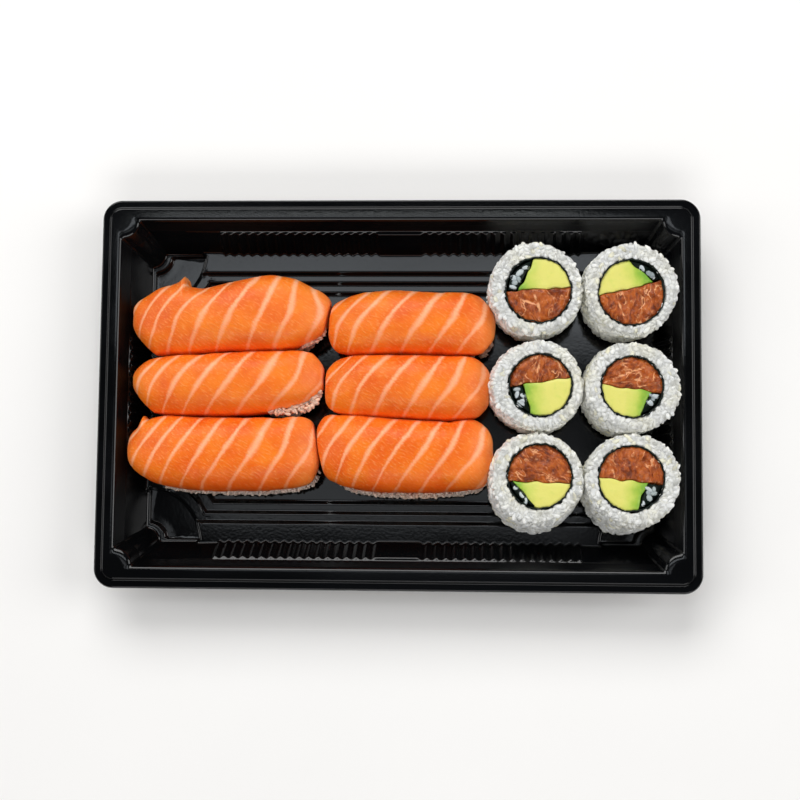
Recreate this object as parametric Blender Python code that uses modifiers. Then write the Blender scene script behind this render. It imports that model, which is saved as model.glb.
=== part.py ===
"""Takeaway sushi tray: a black thermoformed tray with six salmon nigiri and six inside-out rolls.

The origin is the middle of the tray's underside, X runs along the tray, Y across it and Z up.
Run it with: blender --background --python part.py
"""

import math
from collections import namedtuple

import bmesh
import bpy
from mathutils import Matrix, Vector

MM = 0.001

# ---------------------------------------------------------------- driving dimensions, in mm
SHEET = 0.6  # thickness of the tray's plastic
RIM_Z = 22.0  # top of the land round the cavity
RIM_HALF = (106.5, 66.0)  # half length and half width of the cavity at the rim
STRIP_Z = 3.2  # raised outer band of the floor
FOOT_HALF = (99.5, 57.8)  # the cavity's halves where the walls meet that band
PAD_Z = SHEET  # floor of the four corner feet
LEDGE = (0.33, 14.9)  # a small ledge in the wall: its share of the draft, and its height
LAND_HALF = (110.5, 70.6)  # outer edge of the land
FLANGE_HALF = (113.8, 73.9)  # outer edge of the flange, which lies a step lower
FLANGE_DROP = 1.4
LIP_DROP = 1.2  # the flange's turned-down edge
CORNER = (4.2, 7.4)  # corner radius of the land and of the flange
SCALLOP = (6.6, 5.2)  # radius of the corner lugs at the rim and at the floor

PAD_RADIUS = 18.8  # a foot is a quarter disc round the corner of the floor
PAD_RISER = 1.5  # width of the slope between a foot and the band
STEPS = (  # terraces towards the middle: distance from the wall, height below the step, slope width
    (7.3, 2.3, 0.8),
    (11.2, 1.6, 0.8),
    (15.2, 1.0, 0.8),
)
CHAMFER = 31.0  # the inner terraces cut the corner where x + y from the wall is this
CHAMFER_SPREAD = 0.45  # and the cut moves inwards by this share of a terrace's width
ARC_ROWS = 3  # rows of the floor that pass round a foot as an arc
ARC_ROW_GAP = 0.6

PAD_COLUMNS = (0.0, 0.5, 1.0)  # points along a foot, from its lug to its slope
ARC_TURNS = (0.0, 21.0, 24.0, 45.0, 66.0, 69.0, 90.0)  # degrees round a lug and a foot's slope
FIRST_LUG = 1 + len(PAD_COLUMNS)  # the outline's column where the lug begins
LAST_LUG = FIRST_LUG + len(ARC_TURNS) - 1

GAP = 0.3  # between neighbouring solids
NIGIRI_TOP = 30.0
ROLL_TOP = 30.0
SLICE_THICK = 5.2  # salmon on a nigiri, at its crown
SLICE_EDGE = 2.3  # and at its sides
NIGIRI_WAIST = 14.0  # height where a nigiri is widest
NIGIRI_FOOT = 1.4
NIGIRI_POWERS = (3.2, 2.3)  # of its plan and of its height: 2 would be round, and more is boxier
NIGIRI_SEGMENTS = (14, 10)
NORI = 0.6
ROLL_SEGMENTS = 20
ROLL_BUMP = 0.25
TOP_TILT = 0.4  # how much of a roll's lean its cut face shares
RING_PROFILE = (  # where a point of the ring's section lies, how far inside, at which level
    ("side", 2.8, 0.0),
    ("side", 0.3, 0.12),
    ("side", 0.0, 0.5),
    ("side", 0.3, 0.90),
    ("side", 2.0, 1.0),
    ("hole", 0.0, 1.0),
    ("hole", 0.0, 0.0),
)

# A nigiri: middle, half length, half width, how far its north side swells, how far its left end
# narrows, the height of the slice's edge and the amount of rice that stands out on the south side.
Nigiri = namedtuple("Nigiri", "row side x y length width swell narrow edge rice_out")
NIGIRI = (
    Nigiri(1, "left", -64.2, 28.8, 37.6, 14.0, 1.2, 0.10, 9.0, 0.0),
    Nigiri(1, "right", 4.9, 26.9, 31.4, 12.5, 0.0, 0.05, 9.5, 0.0),
    Nigiri(2, "left", -64.4, 2.5, 37.0, 12.4, 0.0, 0.08, 9.0, 0.6),
    Nigiri(2, "right", 3.1, 2.2, 30.6, 12.4, 0.0, 0.05, 9.5, 0.0),
    Nigiri(3, "left", -66.0, -23.6, 37.0, 14.4, 0.0, 0.12, 9.5, 3.0),
    Nigiri(3, "right", 2.6, -23.6, 32.6, 14.2, 0.0, 0.05, 9.5, 3.0),
)
ROW_SEAMS = (14.4, -9.6)  # where one row of nigiri presses against the next
SIDE_SEAM = {1: (-26.4, 0.22), 2: (-27.5, 0.0), 3: (-29.4, -0.16)}  # x at the row's middle, slope

# A roll: the middle and halves of its top and of its foot, the height it stands at, the middle
# and radius of the nori, and the cuts between its fillings: (direction in degrees, offset).
Roll = namedtuple("Roll", "row side top top_r foot foot_r foot_z core core_r salmon avocado")
ROLLS = (
    Roll(1, "inner", (51.8, 38.5), (18.0, 18.0), (51.2, 38.9), (17.6, 17.8), 3.5,
         (52.8, 37.8), 12.4, (-86.0, -0.4), (-27.0, -6.8)),
    Roll(1, "outer", (87.7, 38.4), (17.9, 18.0), (83.6, 38.7), (15.4, 17.9), 3.5,
         (87.2, 37.0), 12.5, (-74.0, -1.8), (-131.0, -8.2)),
    Roll(2, "inner", (52.4, 2.4), (17.9, 17.1), (51.6, 2.3), (17.7, 17.3), 1.3,
         (53.6, 2.3), 11.8, (99.0, 1.1), (17.0, -6.3)),
    Roll(2, "outer", (88.2, 1.6), (18.2, 17.3), (83.9, 1.6), (15.3, 17.4), 3.5,
         (87.3, 1.7), 11.6, (81.0, -0.6), (153.0, -7.0)),
    Roll(3, "inner", (52.1, -32.2), (18.0, 17.7), (51.4, -34.6), (17.8, 18.1), 2.7,
         (53.4, -31.4), 12.1, (88.0, -2.1), (42.0, -8.4)),
    Roll(3, "outer", (88.1, -32.3), (18.2, 17.7), (83.8, -35.0), (15.4, 18.1), 3.5,
         (86.9, -32.0), 12.3, (84.0, -0.9), (159.0, -6.1)),
)

COLORS = {  # base colour, roughness
    "black_plastic": ((0.012, 0.013, 0.015), 0.22),
    "salmon": ((0.93, 0.28, 0.07), 0.35),
    "rice": ((0.78, 0.77, 0.70), 0.55),
    "nori": ((0.012, 0.018, 0.014), 0.5),
    "tartare": ((0.55, 0.13, 0.05), 0.3),
    "avocado": ((0.72, 0.74, 0.25), 0.45),
}


# ---------------------------------------------------------------- tools
def remove_everything():
    for obj in list(bpy.data.objects):
        bpy.data.objects.remove(obj, do_unlink=True)


def make_material(name):
    color, roughness = COLORS[name]
    material = bpy.data.materials.new(name)
    material.use_nodes = True
    shader = material.node_tree.nodes["Principled BSDF"]
    shader.inputs["Base Color"].default_value = (*color, 1.0)
    shader.inputs["Roughness"].default_value = roughness
    shader.inputs["Metallic"].default_value = 0.0
    return material


def warped_grid(bm, columns, rows, place):
    """A grid of columns x rows points, each moved to place(column, row), in mm."""
    made = bmesh.ops.create_grid(bm, x_segments=columns - 1, y_segments=rows - 1, size=1.0)
    for vert in made["verts"]:
        column = round((vert.co.x + 1) / 2 * (columns - 1))
        row = round((vert.co.y + 1) / 2 * (rows - 1))
        vert.co = Vector(place(column, row)) * MM


def face_up_or_out(bm):
    """Turns an open sheet's faces up, and a closed body's faces out."""
    bmesh.ops.recalc_face_normals(bm, faces=bm.faces)
    sheet = any(edge.is_boundary for edge in bm.edges)
    upward = sum(face.normal.z * face.calc_area() for face in bm.faces)
    inside_out = upward < 0 if sheet else bm.calc_volume(signed=True) < 0
    if inside_out:
        bmesh.ops.reverse_faces(bm, faces=bm.faces)


def make_object(name, bm, material, collection):
    bmesh.ops.remove_doubles(bm, verts=bm.verts, dist=1e-6)
    bmesh.ops.dissolve_degenerate(bm, edges=bm.edges, dist=1e-7)
    face_up_or_out(bm)
    mesh = bpy.data.meshes.new(name)
    bm.to_mesh(mesh)
    bm.free()
    mesh.materials.append(material)
    mesh.shade_smooth()
    mesh.set_sharp_from_angle(angle=math.radians(35))
    obj = bpy.data.objects.new(name, mesh)
    collection.objects.link(obj)
    return obj


def mix(a, b, share):
    return a + (b - a) * share


def mix_points(a, b, share):
    return tuple(mix(p, q, share) for p, q in zip(a, b))


def ramp(value, start, width):
    return min(max((value - start) / width, 0.0), 1.0)


# ---------------------------------------------------------------- the tray
def wall_share(z):
    """How much of the wall's draft is used up at height z: 0 at the rim, 1 at the band."""
    share, ledge_z = LEDGE
    if z > ledge_z:
        return share * (RIM_Z - z) / (RIM_Z - ledge_z)
    return share + (1 - share) * (ledge_z - z) / (ledge_z - STRIP_Z)


def wall_halves(z):
    """Half length and half width of the cavity at height z."""
    return mix_points(RIM_HALF, FOOT_HALF, wall_share(z))


def band_height(inset):
    """Height of the band and of the first terrace at a distance from the wall."""
    start, lower, width = STEPS[0]
    return mix(STRIP_Z, lower, ramp(inset, start, width))


def arc_point(corner, radius, degrees):
    """A point on the arc round the cavity's corner, from the long wall towards the end wall."""
    turn = math.radians(degrees)
    return corner[0] - radius * math.cos(turn), corner[1] - radius * math.sin(turn)


def outline(half, lug):
    """One quarter of the cavity's outline, from the middle of the long side to the middle of the
    short side: the columns that every row of the sheet shares."""
    end, side = half
    reach = [mix(lug, PAD_RADIUS, share) for share in PAD_COLUMNS]
    reach.append(PAD_RADIUS + PAD_RISER)
    points = [(0.0, side)]
    points += [(end - r, side) for r in reversed(reach)]
    points += [arc_point(half, lug, turn) for turn in ARC_TURNS[1:-1]]
    points += [(end, side - r) for r in reach]
    points.append((end, 0.0))
    return points


def rounded(half, radius):
    """The same columns on an outline with round convex corners."""
    end, side = half
    straight = PAD_RADIUS + PAD_RISER
    points = [(0.0, side), (end - straight, side)]
    turns = LAST_LUG + len(PAD_COLUMNS) - 2
    for step in range(turns):
        turn = math.radians(90 - 90 * step / (turns - 1))
        points.append((end - radius * (1 - math.cos(turn)), side - radius * (1 - math.sin(turn))))
    return points + [(end, side - straight), (end, 0.0)]


def wall_row(z):
    """The cavity's outline at height z."""
    return [(*point, z) for point in outline(wall_halves(z), mix(*SCALLOP, wall_share(z)))]


def foot_row():
    """Where the walls end: on the band, and in the corners on the floor of a foot."""
    on_foot = range(2, LAST_LUG + len(PAD_COLUMNS))
    pairs = enumerate(zip(wall_row(PAD_Z), wall_row(STRIP_Z)))
    return [low if n in on_foot else high for n, (low, high) in pairs]


def tray_rows():
    """The rows of the sheet from the flange's lip down to the foot of the walls."""
    flange_z = RIM_Z - FLANGE_DROP
    lip = [half + 0.3 for half in FLANGE_HALF]
    return [
        [(*p, flange_z - LIP_DROP) for p in rounded(lip, CORNER[1])],
        [(*p, flange_z) for p in rounded(FLANGE_HALF, CORNER[1])],
        [(*p, flange_z) for p in rounded([half + 0.5 for half in LAND_HALF], CORNER[0] + 0.5)],
        [(*p, RIM_Z) for p in rounded(LAND_HALF, CORNER[0])],
        wall_row(RIM_Z),
        wall_row(LEDGE[1]),
        foot_row(),
    ]


def pad_patch(bm, foot):
    """The floor of a foot and the slope round it, as rows of arcs from the lug outwards."""
    slope_top = len(PAD_COLUMNS)

    def place(column, row):
        if row == slope_top:
            x, y = arc_point(FOOT_HALF, PAD_RADIUS + PAD_RISER, ARC_TURNS[column])
            return x, y, band_height(min(FOOT_HALF[0] - x, FOOT_HALF[1] - y))
        if row == 0:
            return foot[FIRST_LUG + column]
        if column == 0:
            return foot[FIRST_LUG - row]
        if column == len(ARC_TURNS) - 1:
            return foot[LAST_LUG + row]
        radius = mix(SCALLOP[1], PAD_RADIUS, PAD_COLUMNS[row])
        return (*arc_point(FOOT_HALF, radius, ARC_TURNS[column]), PAD_Z)

    warped_grid(bm, len(ARC_TURNS), slope_top + 1, place)


def floor_patch(bm):
    """The band, the terraces and the middle of the floor: rows parallel to the walls, which pass
    round the feet as arcs and cut the corners as chamfers further in."""
    rows = [(0.0, STRIP_Z)]
    for start, lower, width in STEPS:
        rows += [(start, rows[-1][1]), (start + width, lower)]
    rows.append((FOOT_HALF[1], rows[-1][1]))
    columns = len(ARC_TURNS) + 2

    def place(column, row):
        inset, z = rows[row]
        end, side = FOOT_HALF[0] - inset, FOOT_HALF[1] - inset
        if row == len(rows) - 1:
            return 0.0, 0.0, z
        if column == 0:
            return 0.0, side, z
        if column == columns - 1:
            return end, 0.0, z
        if row < ARC_ROWS:
            radius = PAD_RADIUS + PAD_RISER + ARC_ROW_GAP * row
            least = math.degrees(math.asin(inset / radius))
            turn = min(max(ARC_TURNS[column - 1], least), 90 - least)
            x, y = arc_point(FOOT_HALF, radius, turn)
            return x, y, band_height(min(FOOT_HALF[0] - x, FOOT_HALF[1] - y))
        cut = CHAMFER - STEPS[1][0] + (inset - STEPS[1][0]) * CHAMFER_SPREAD
        share = (column - 1) / (columns - 3)
        x, y = mix(FOOT_HALF[0] - cut, end, share), mix(side, FOOT_HALF[1] - cut, share)
        return max(x, 0.0), max(y, 0.0), z

    warped_grid(bm, columns, len(rows), place)


def build_tray(material, collection):
    bm = bmesh.new()
    rows = tray_rows()
    warped_grid(bm, len(rows[0]), len(rows), lambda column, row: rows[row][column])
    pad_patch(bm, rows[-1])
    floor_patch(bm)
    tray = make_object("tray", bm, material, collection)
    mirror = tray.modifiers.new("other_quarters", "MIRROR")
    mirror.use_axis = (True, True, False)
    mirror.merge_threshold = 1e-5
    wall = tray.modifiers.new("sheet", "SOLIDIFY")
    wall.thickness = SHEET * MM
    wall.offset = -1
    wall.use_even_offset = True
    wall.solidify_mode = "NON_MANIFOLD"
    wall.nonmanifold_thickness_mode = "CONSTRAINTS"
    wall.nonmanifold_boundary_mode = "NONE"
    return tray


# ---------------------------------------------------------------- nigiri
def side_seam(piece, y):
    """Where the two nigiri of a row press against each other, at a place across the tray."""
    x, slope = SIDE_SEAM[piece.row]
    return x + slope * (y - piece.y)


def keep_in_place(piece, x, y, z, margin):
    """Moves a point of a nigiri back to its own side of what it presses against."""
    if piece.row > 1:
        y = min(y, ROW_SEAMS[piece.row - 2] - margin)
    if piece.row < len(ROW_SEAMS) + 1:
        y = max(y, ROW_SEAMS[piece.row - 1] + margin)
    if piece.side == "left":
        x = min(x, side_seam(piece, y) - margin)
    else:
        x = max(x, side_seam(piece, y) + margin)
        x = min([x, *(west_of(roll, y, z, margin) for roll in ROLLS if roll.side == "inner")])
    end = wall_halves(min(z, RIM_Z))[0] - GAP - margin
    return max(x, -end), y, z


def west_of(roll, y, z, margin):
    """How far a nigiri may reach towards a roll at a place across the tray and a height."""
    level = level_of(roll, z)
    middle, reach = roll_middle(roll, level), mix_points(roll.foot_r, roll.top_r, level)
    along, across = (half + 2 * ROLL_BUMP + margin for half in reach)
    share = 1 - ((y - middle.y) / across) ** 2
    return middle.x - along * math.sqrt(share) if share > 0 else math.inf


def pillow_reach(point):
    """How far the unit cushion's surface is in the point's direction."""
    plan, height = NIGIRI_POWERS
    flat = (abs(point.x) ** plan + abs(point.y) ** plan) ** (height / plan)
    return (flat + abs(point.z) ** height) ** (-1 / height)


def pillow(bm, piece, inset, crown_inset):
    """A closed cushion shape over a nigiri's length, smaller than its outer form by the insets."""
    turned = Matrix.Rotation(math.pi / 2, 4, "Y")
    made = bmesh.ops.create_uvsphere(
        bm, u_segments=NIGIRI_SEGMENTS[0], v_segments=NIGIRI_SEGMENTS[1], radius=1.0, matrix=turned
    )
    for vert in made["verts"]:
        along, across, up = vert.co * pillow_reach(vert.co)
        half = piece.width * (1 - piece.narrow * (1 - along) / 2) - inset
        swell = piece.swell * math.sin(math.pi * (along + 0.1)) * max(across, 0.0)
        x = piece.x + along * (piece.length - inset)
        y = piece.y + across * half + swell
        if up > 0:
            z = NIGIRI_WAIST + up * (NIGIRI_TOP - NIGIRI_WAIST - crown_inset)
        else:
            z = NIGIRI_WAIST + up * (NIGIRI_WAIST - NIGIRI_FOOT)
        vert.co = Vector(keep_in_place(piece, x, y, z, inset + GAP / 2)) * MM
    return made["verts"]


def cut_across(bm, z, remove_below):
    """Cuts the mesh at height z, and removes what is below if asked to."""
    bmesh.ops.bisect_plane(
        bm,
        geom=[*bm.verts, *bm.edges, *bm.faces],
        plane_co=(0.0, 0.0, z * MM),
        plane_no=(0.0, 0.0, -1.0),
        clear_outer=remove_below,
    )


def build_slice(piece, material, collection):
    """The salmon: an outer and an inner dome, joined round their lower edges."""
    bm = bmesh.new()
    pillow(bm, piece, SLICE_EDGE, SLICE_THICK)
    cut_across(bm, piece.edge, True)
    bmesh.ops.reverse_faces(bm, faces=bm.faces)
    outer = bmesh.new()
    pillow(outer, piece, 0.0, 0.0)
    cut_across(outer, piece.edge, True)
    spare = bpy.data.meshes.new("outer_dome")
    outer.to_mesh(spare)
    outer.free()
    bm.from_mesh(spare)
    bpy.data.meshes.remove(spare)
    bmesh.ops.remove_doubles(bm, verts=bm.verts, dist=1e-6)
    rims = [edge for edge in bm.edges if edge.is_boundary]
    bmesh.ops.bridge_loops(bm, edges=rims)
    return make_object(f"nigiri_{piece.row}_{piece.side}_salmon", bm, material, collection)


def build_nigiri_rice(piece, material, collection):
    """The rice block, which fills the dome and stands out below it on the near side."""
    bm = bmesh.new()
    pillow(bm, piece, SLICE_EDGE + GAP, SLICE_THICK + GAP)
    top_of_skirt = piece.edge - GAP
    cut_across(bm, top_of_skirt, False)
    for vert in bm.verts:
        if vert.co.z < (top_of_skirt - GAP) * MM and vert.co.y < piece.y * MM:
            share = (piece.y - vert.co.y / MM) / piece.width
            vert.co.y -= (SLICE_EDGE + piece.rice_out) * share * MM
    return make_object(f"nigiri_{piece.row}_{piece.side}_rice", bm, material, collection)


# ---------------------------------------------------------------- rolls
def level_of(roll, z):
    return min(max((z - roll.foot_z) / (ROLL_TOP - roll.foot_z), 0.0), 1.0)


def roll_middle(roll, level):
    return Vector(mix_points(roll.foot, roll.top, level))


def roll_reach(roll, level, direction):
    """The roll's radius at a level in a direction."""
    along, across = mix_points(roll.foot_r, roll.top_r, level)
    return 1 / math.hypot(direction.x / along, direction.y / across)


def neighbours(roll):
    beside = [other for other in ROLLS if other.row == roll.row and other.side != roll.side]
    before = [other for other in ROLLS if other.side == roll.side and abs(other.row - roll.row) == 1]
    return beside + before


def pressed(roll, point, z):
    """Flattens a point of a roll where it would pass into a neighbour or the end wall."""
    level = level_of(roll, z)
    middle = roll_middle(roll, level)
    for other in neighbours(roll):
        other_level = level_of(other, z)
        apart = roll_middle(other, other_level) - middle
        direction = apart.normalized()
        own, theirs = roll_reach(roll, level, direction), roll_reach(other, other_level, -direction)
        limit = apart.length * own / (own + theirs) - GAP / 2
        beyond = (point - middle).dot(direction) - limit
        if beyond > 0:
            point = point - direction * beyond
    end = wall_halves(min(z, RIM_Z))[0] - GAP * 1.2
    return Vector((min(point.x, end), point.y))


def roll_point(roll, point, level):
    """A point at a level of a roll; towards its top the cut leans with the roll."""
    lean = Vector(roll.top) - Vector(roll.foot)
    height = ROLL_TOP - roll.foot_z
    tilt = (point - roll_middle(roll, level)).dot(lean) / height * TOP_TILT
    z = mix(roll.foot_z, ROLL_TOP, level) - max(level * 2 - 1, 0.0) * tilt
    return point.x, point.y, z


def core_point(roll, level, flat):
    """A point of the core, given in the top cut's plane: lower down the roll narrows, and so does its core."""
    at_foot = min(foot / top for foot, top in zip(roll.foot_r, roll.top_r))
    offset = Vector(roll.core) - Vector(roll.top) + flat
    return roll_middle(roll, level) + offset * mix(at_foot, 1.0, level)


def bump(roll, turn):
    """How far the rice stands out, which differs round each roll."""
    start = roll.top[0] + roll.top[1]
    return ROLL_BUMP * (math.sin(3 * turn + start) + 0.6 * math.sin(5 * turn + 2 * start))


def build_ring(roll, material, collection):
    """The rice of a roll: a ring with rounded edges, open to its nori."""
    bm = bmesh.new()
    hole = roll.core_r + GAP

    def place(column, row):
        turn = 2 * math.pi * column / ROLL_SEGMENTS
        direction = Vector((math.cos(turn), math.sin(turn)))
        kind, inset, level = RING_PROFILE[row % len(RING_PROFILE)]
        if kind == "hole":
            point = core_point(roll, level, direction * (hole + inset))
        else:
            reach = roll_reach(roll, level, direction) + bump(roll, turn) - inset
            z = mix(roll.foot_z, ROLL_TOP, level)
            point = pressed(roll, roll_middle(roll, level) + direction * reach, z)
        return roll_point(roll, point, level)

    warped_grid(bm, ROLL_SEGMENTS + 1, len(RING_PROFILE) + 1, place)
    return make_object(f"roll_{roll.row}_{roll.side}_rice", bm, material, collection)


def build_nori(roll, material, collection):
    bm = bmesh.new()
    profile = ((0.0, 0.0), (0.0, 1.0), (-NORI, 1.0), (-NORI, 0.0), (0.0, 0.0))

    def place(column, row):
        turn = 2 * math.pi * column / ROLL_SEGMENTS
        inset, level = profile[row]
        direction = Vector((math.cos(turn), math.sin(turn)))
        return roll_point(roll, core_point(roll, level, direction * (roll.core_r + inset)), level)

    warped_grid(bm, ROLL_SEGMENTS + 1, len(profile), place)
    return make_object(f"roll_{roll.row}_{roll.side}_nori", bm, material, collection)


def build_filling(roll, kind, cuts, material, collection):
    """One filling: the part of the core's circle on the kept side of each cut, run through the roll."""
    bm = bmesh.new()
    radius = roll.core_r - NORI - GAP
    bmesh.ops.create_circle(bm, cap_ends=True, segments=ROLL_SEGMENTS, radius=radius)
    for degrees, offset in cuts:
        turn = math.radians(degrees)
        normal = Vector((math.cos(turn), math.sin(turn), 0.0))
        bmesh.ops.bisect_plane(
            bm,
            geom=[*bm.verts, *bm.edges, *bm.faces],
            plane_co=normal * (offset + GAP / 2),
            plane_no=normal,
            clear_inner=True,
        )
    lifted = bmesh.ops.extrude_face_region(bm, geom=bm.faces[:])
    top = [part for part in lifted["geom"] if isinstance(part, bmesh.types.BMVert)]
    bmesh.ops.translate(bm, verts=top, vec=(0.0, 0.0, 1.0))
    for vert in bm.verts:
        level = vert.co.z
        vert.co = Vector(roll_point(roll, core_point(roll, level, vert.co.xy), level)) * MM
    return make_object(f"roll_{roll.row}_{roll.side}_{kind}", bm, material, collection)


def turned_round(cut):
    return cut[0] + 180, -cut[1]


def build_roll(roll, materials, collection):
    build_ring(roll, materials["rice"], collection)
    build_nori(roll, materials["nori"], collection)
    beside = turned_round(roll.salmon)
    build_filling(roll, "salmon", [roll.salmon], materials["tartare"], collection)
    build_filling(roll, "avocado", [beside, roll.avocado], materials["avocado"], collection)
    build_filling(roll, "inner_rice", [beside, turned_round(roll.avocado)], materials["rice"], collection)


def main():
    remove_everything()
    collection = bpy.data.collections.new("takeaway_sushi_tray")
    bpy.context.scene.collection.children.link(collection)
    materials = {name: make_material(name) for name in COLORS}
    build_tray(materials["black_plastic"], collection)
    for piece in NIGIRI:
        build_slice(piece, materials["salmon"], collection)
        build_nigiri_rice(piece, materials["rice"], collection)
    for roll in ROLLS:
        build_roll(roll, materials, collection)


main()
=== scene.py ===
"""Looks of a takeaway sushi tray: a black formed tray, salmon nigiri and inside-out rolls.

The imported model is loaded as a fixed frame, and each of its nodes is replaced here by a detailed
piece in the same place. Lengths in the classes are in millimetres; meshes are written in metres.
"""

import logging
import math
import random
from collections.abc import Callable, Sequence
from dataclasses import dataclass, field
from enum import Enum
from typing import Any, ClassVar

import bmesh
import bpy
from bmesh.types import BMesh, BMVert
from mathutils import Matrix, Vector, noise
from mathutils.bvhtree import BVHTree


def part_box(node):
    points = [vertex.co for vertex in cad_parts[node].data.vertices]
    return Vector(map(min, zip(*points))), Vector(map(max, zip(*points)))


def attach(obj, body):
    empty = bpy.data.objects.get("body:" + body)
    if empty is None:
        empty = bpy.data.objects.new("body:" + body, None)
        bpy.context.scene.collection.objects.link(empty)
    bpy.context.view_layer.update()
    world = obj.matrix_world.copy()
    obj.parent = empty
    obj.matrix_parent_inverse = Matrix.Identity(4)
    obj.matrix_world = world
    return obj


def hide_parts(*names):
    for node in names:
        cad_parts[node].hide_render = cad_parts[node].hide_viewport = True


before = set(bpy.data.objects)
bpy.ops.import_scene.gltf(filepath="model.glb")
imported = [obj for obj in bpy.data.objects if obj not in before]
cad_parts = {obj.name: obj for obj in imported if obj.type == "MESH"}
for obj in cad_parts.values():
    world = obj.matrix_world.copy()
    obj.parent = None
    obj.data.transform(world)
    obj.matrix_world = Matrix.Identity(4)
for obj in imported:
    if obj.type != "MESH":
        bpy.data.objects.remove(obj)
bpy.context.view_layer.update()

MM = 0.001
BODY = "root"
SKY_HIGH = 60.0  # millimetres, above all food
TOP_ZONE = 4.0  # millimetres, how far a leaning cut face may drop

logging.basicConfig(level=logging.INFO, format="%(message)s")
LOG = logging.getLogger("sushi_tray")

Color = tuple[float, float, float]
Point = tuple[float, float, float]
Bends = tuple[tuple[float, float], ...]
Limit = Callable[[Vector], Vector]
Material = bpy.types.Material
Piece = bpy.types.Object
Socket = bpy.types.NodeSocket


# ---------------------------------------------------------------- small tools
def mix(a: float, b: float, share: float) -> float:
    """Goes from a to b by the share."""
    return a + (b - a) * share


def smooth(value: float, low: float, high: float) -> float:
    """Rises smoothly from 0 to 1 while a value goes from low to high."""
    share = min(max((value - low) / (high - low), 0.0), 1.0)
    return share * share * (3 - 2 * share)


def wobble(point: Vector, size: float, seed: float) -> float:
    """Smooth noise from about -1 to 1 at a point, in swellings of a size in millimetres."""
    return noise.noise(point / size + Vector((seed * 7.31, seed * 3.17, seed * 1.73)))


def along_list(points: Sequence[tuple[float, float]], where: float) -> float:
    """Reads a line of straight stretches.

    Args:
        points: Its bends, each a place and a value, in order.
        where: The place to read, which may lie beyond the ends.

    Returns:
        The value there.
    """
    pairs = zip(points, points[1:])
    (x0, y0), (x1, y1) = next((pair for pair in pairs if where < pair[1][0]), points[-2:])
    return y0 + (y1 - y0) * (where - x0) / (x1 - x0)


def pressed(value: float, low: float, high: float, soft: float = 0.35) -> float:
    """Keeps a value between two limits, with a soft turn at each.

    Args:
        value: The value.
        low: The lower limit.
        high: The upper limit.
        soft: How soft the turn is.

    Returns:
        The value, which only nears a limit that it passed.
    """
    if value < low + 9 * soft:
        value = low + soft * math.log1p(math.exp(min((value - low) / soft, 60.0)))
    if value > high - 9 * soft:
        value = high - soft * math.log1p(math.exp(min((high - value) / soft, 60.0)))
    return value


def corners(node: str) -> tuple[Vector, Vector]:
    """The lowest and highest corner of a CAD node, in millimetres."""
    low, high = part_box(node)
    return Vector(low) / MM, Vector(high) / MM


def warped_grid(bm: BMesh, columns: int, rows: int, place: Callable[[int, int], Sequence[float]]) -> None:
    """Adds a grid and moves each of its points.

    Args:
        bm: The mesh that gets the grid.
        columns: How many points it has along.
        rows: How many points it has across.
        place: Gives the position of a point from its column and row.
    """
    made = bmesh.ops.create_grid(bm, x_segments=columns - 1, y_segments=rows - 1, size=1.0)
    for vert in made["verts"]:
        column = round((vert.co.x + 1) / 2 * (columns - 1))
        row = round((vert.co.y + 1) / 2 * (rows - 1))
        vert.co = Vector(place(column, row))


def node_copy(node: str) -> BMesh:
    """Copies a CAD node's mesh, and merges its points.

    Args:
        node: The node's name.

    Returns:
        The copy, in millimetres.
    """
    bm = bmesh.new()
    bm.from_mesh(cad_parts[node].data)
    bmesh.ops.scale(bm, vec=(1 / MM,) * 3, verts=bm.verts)
    bmesh.ops.remove_doubles(bm, verts=bm.verts, dist=0.01)
    bmesh.ops.recalc_face_normals(bm, faces=bm.faces)
    return bm


def node_tree(node: str) -> BVHTree:
    """Makes a surface to cast rays at.

    Args:
        node: The CAD node that it comes from.

    Returns:
        The surface, in millimetres.
    """
    solid = node_copy(node)
    tree = BVHTree.FromBMesh(solid)
    solid.free()
    return tree


def seen_from_above(tree: BVHTree, x: float, y: float) -> tuple[Vector | None, Vector | None]:
    """The highest point of a surface at a place, and the surface's direction there."""
    hit, normal, _, _ = tree.ray_cast(Vector((x, y, SKY_HIGH)), Vector((0, 0, -1)))
    return hit, normal


def border(bm: BMesh) -> list[bmesh.types.BMEdge]:
    """The edges that only one face holds."""
    return [edge for edge in bm.edges if edge.is_boundary]


def border_lines(bm: BMesh) -> list[tuple[Vector, Vector]]:
    """Both ends of each border edge."""
    return [(edge.verts[0].co.copy(), edge.verts[1].co.copy()) for edge in border(bm)]


def distance_to(point: Vector, a: Vector, b: Vector) -> float:
    """Measures from a point to a straight line, seen from above.

    Args:
        point: The point.
        a: One end of the line.
        b: Its other end.

    Returns:
        The least distance.
    """
    run = (b - a).xy
    away = (point - a).xy
    share = min(max(away.dot(run) / max(run.length_squared, 1e-9), 0.0), 1.0)
    return (away - run * share).length


def finish_piece(
    bm: BMesh, name: str, material: Material, nodes: Sequence[str], closed: bool = True
) -> Piece:
    """Makes an object of a mesh, and ties it to the frame.

    Args:
        bm: The mesh, in millimetres; it is freed.
        name: The piece's name.
        material: What it is made of.
        nodes: The CAD nodes that it stands for.
        closed: Whether to turn its faces outwards.

    Returns:
        The new object.
    """
    if closed:
        bmesh.ops.recalc_face_normals(bm, faces=bm.faces)
        if bm.calc_volume(signed=True) < 0:
            bmesh.ops.reverse_faces(bm, faces=bm.faces)
    bmesh.ops.scale(bm, vec=(MM,) * 3, verts=bm.verts)
    mesh = bpy.data.meshes.new(name)
    bm.to_mesh(mesh)
    bm.free()
    mesh.materials.append(material)
    mesh.shade_smooth()
    piece = bpy.data.objects.new(name, mesh)
    bpy.context.scene.collection.objects.link(piece)
    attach(piece, BODY)
    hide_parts(*nodes)
    LOG.info("%s: %d points, %d faces", name, len(mesh.vertices), len(mesh.polygons))
    return piece


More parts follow.
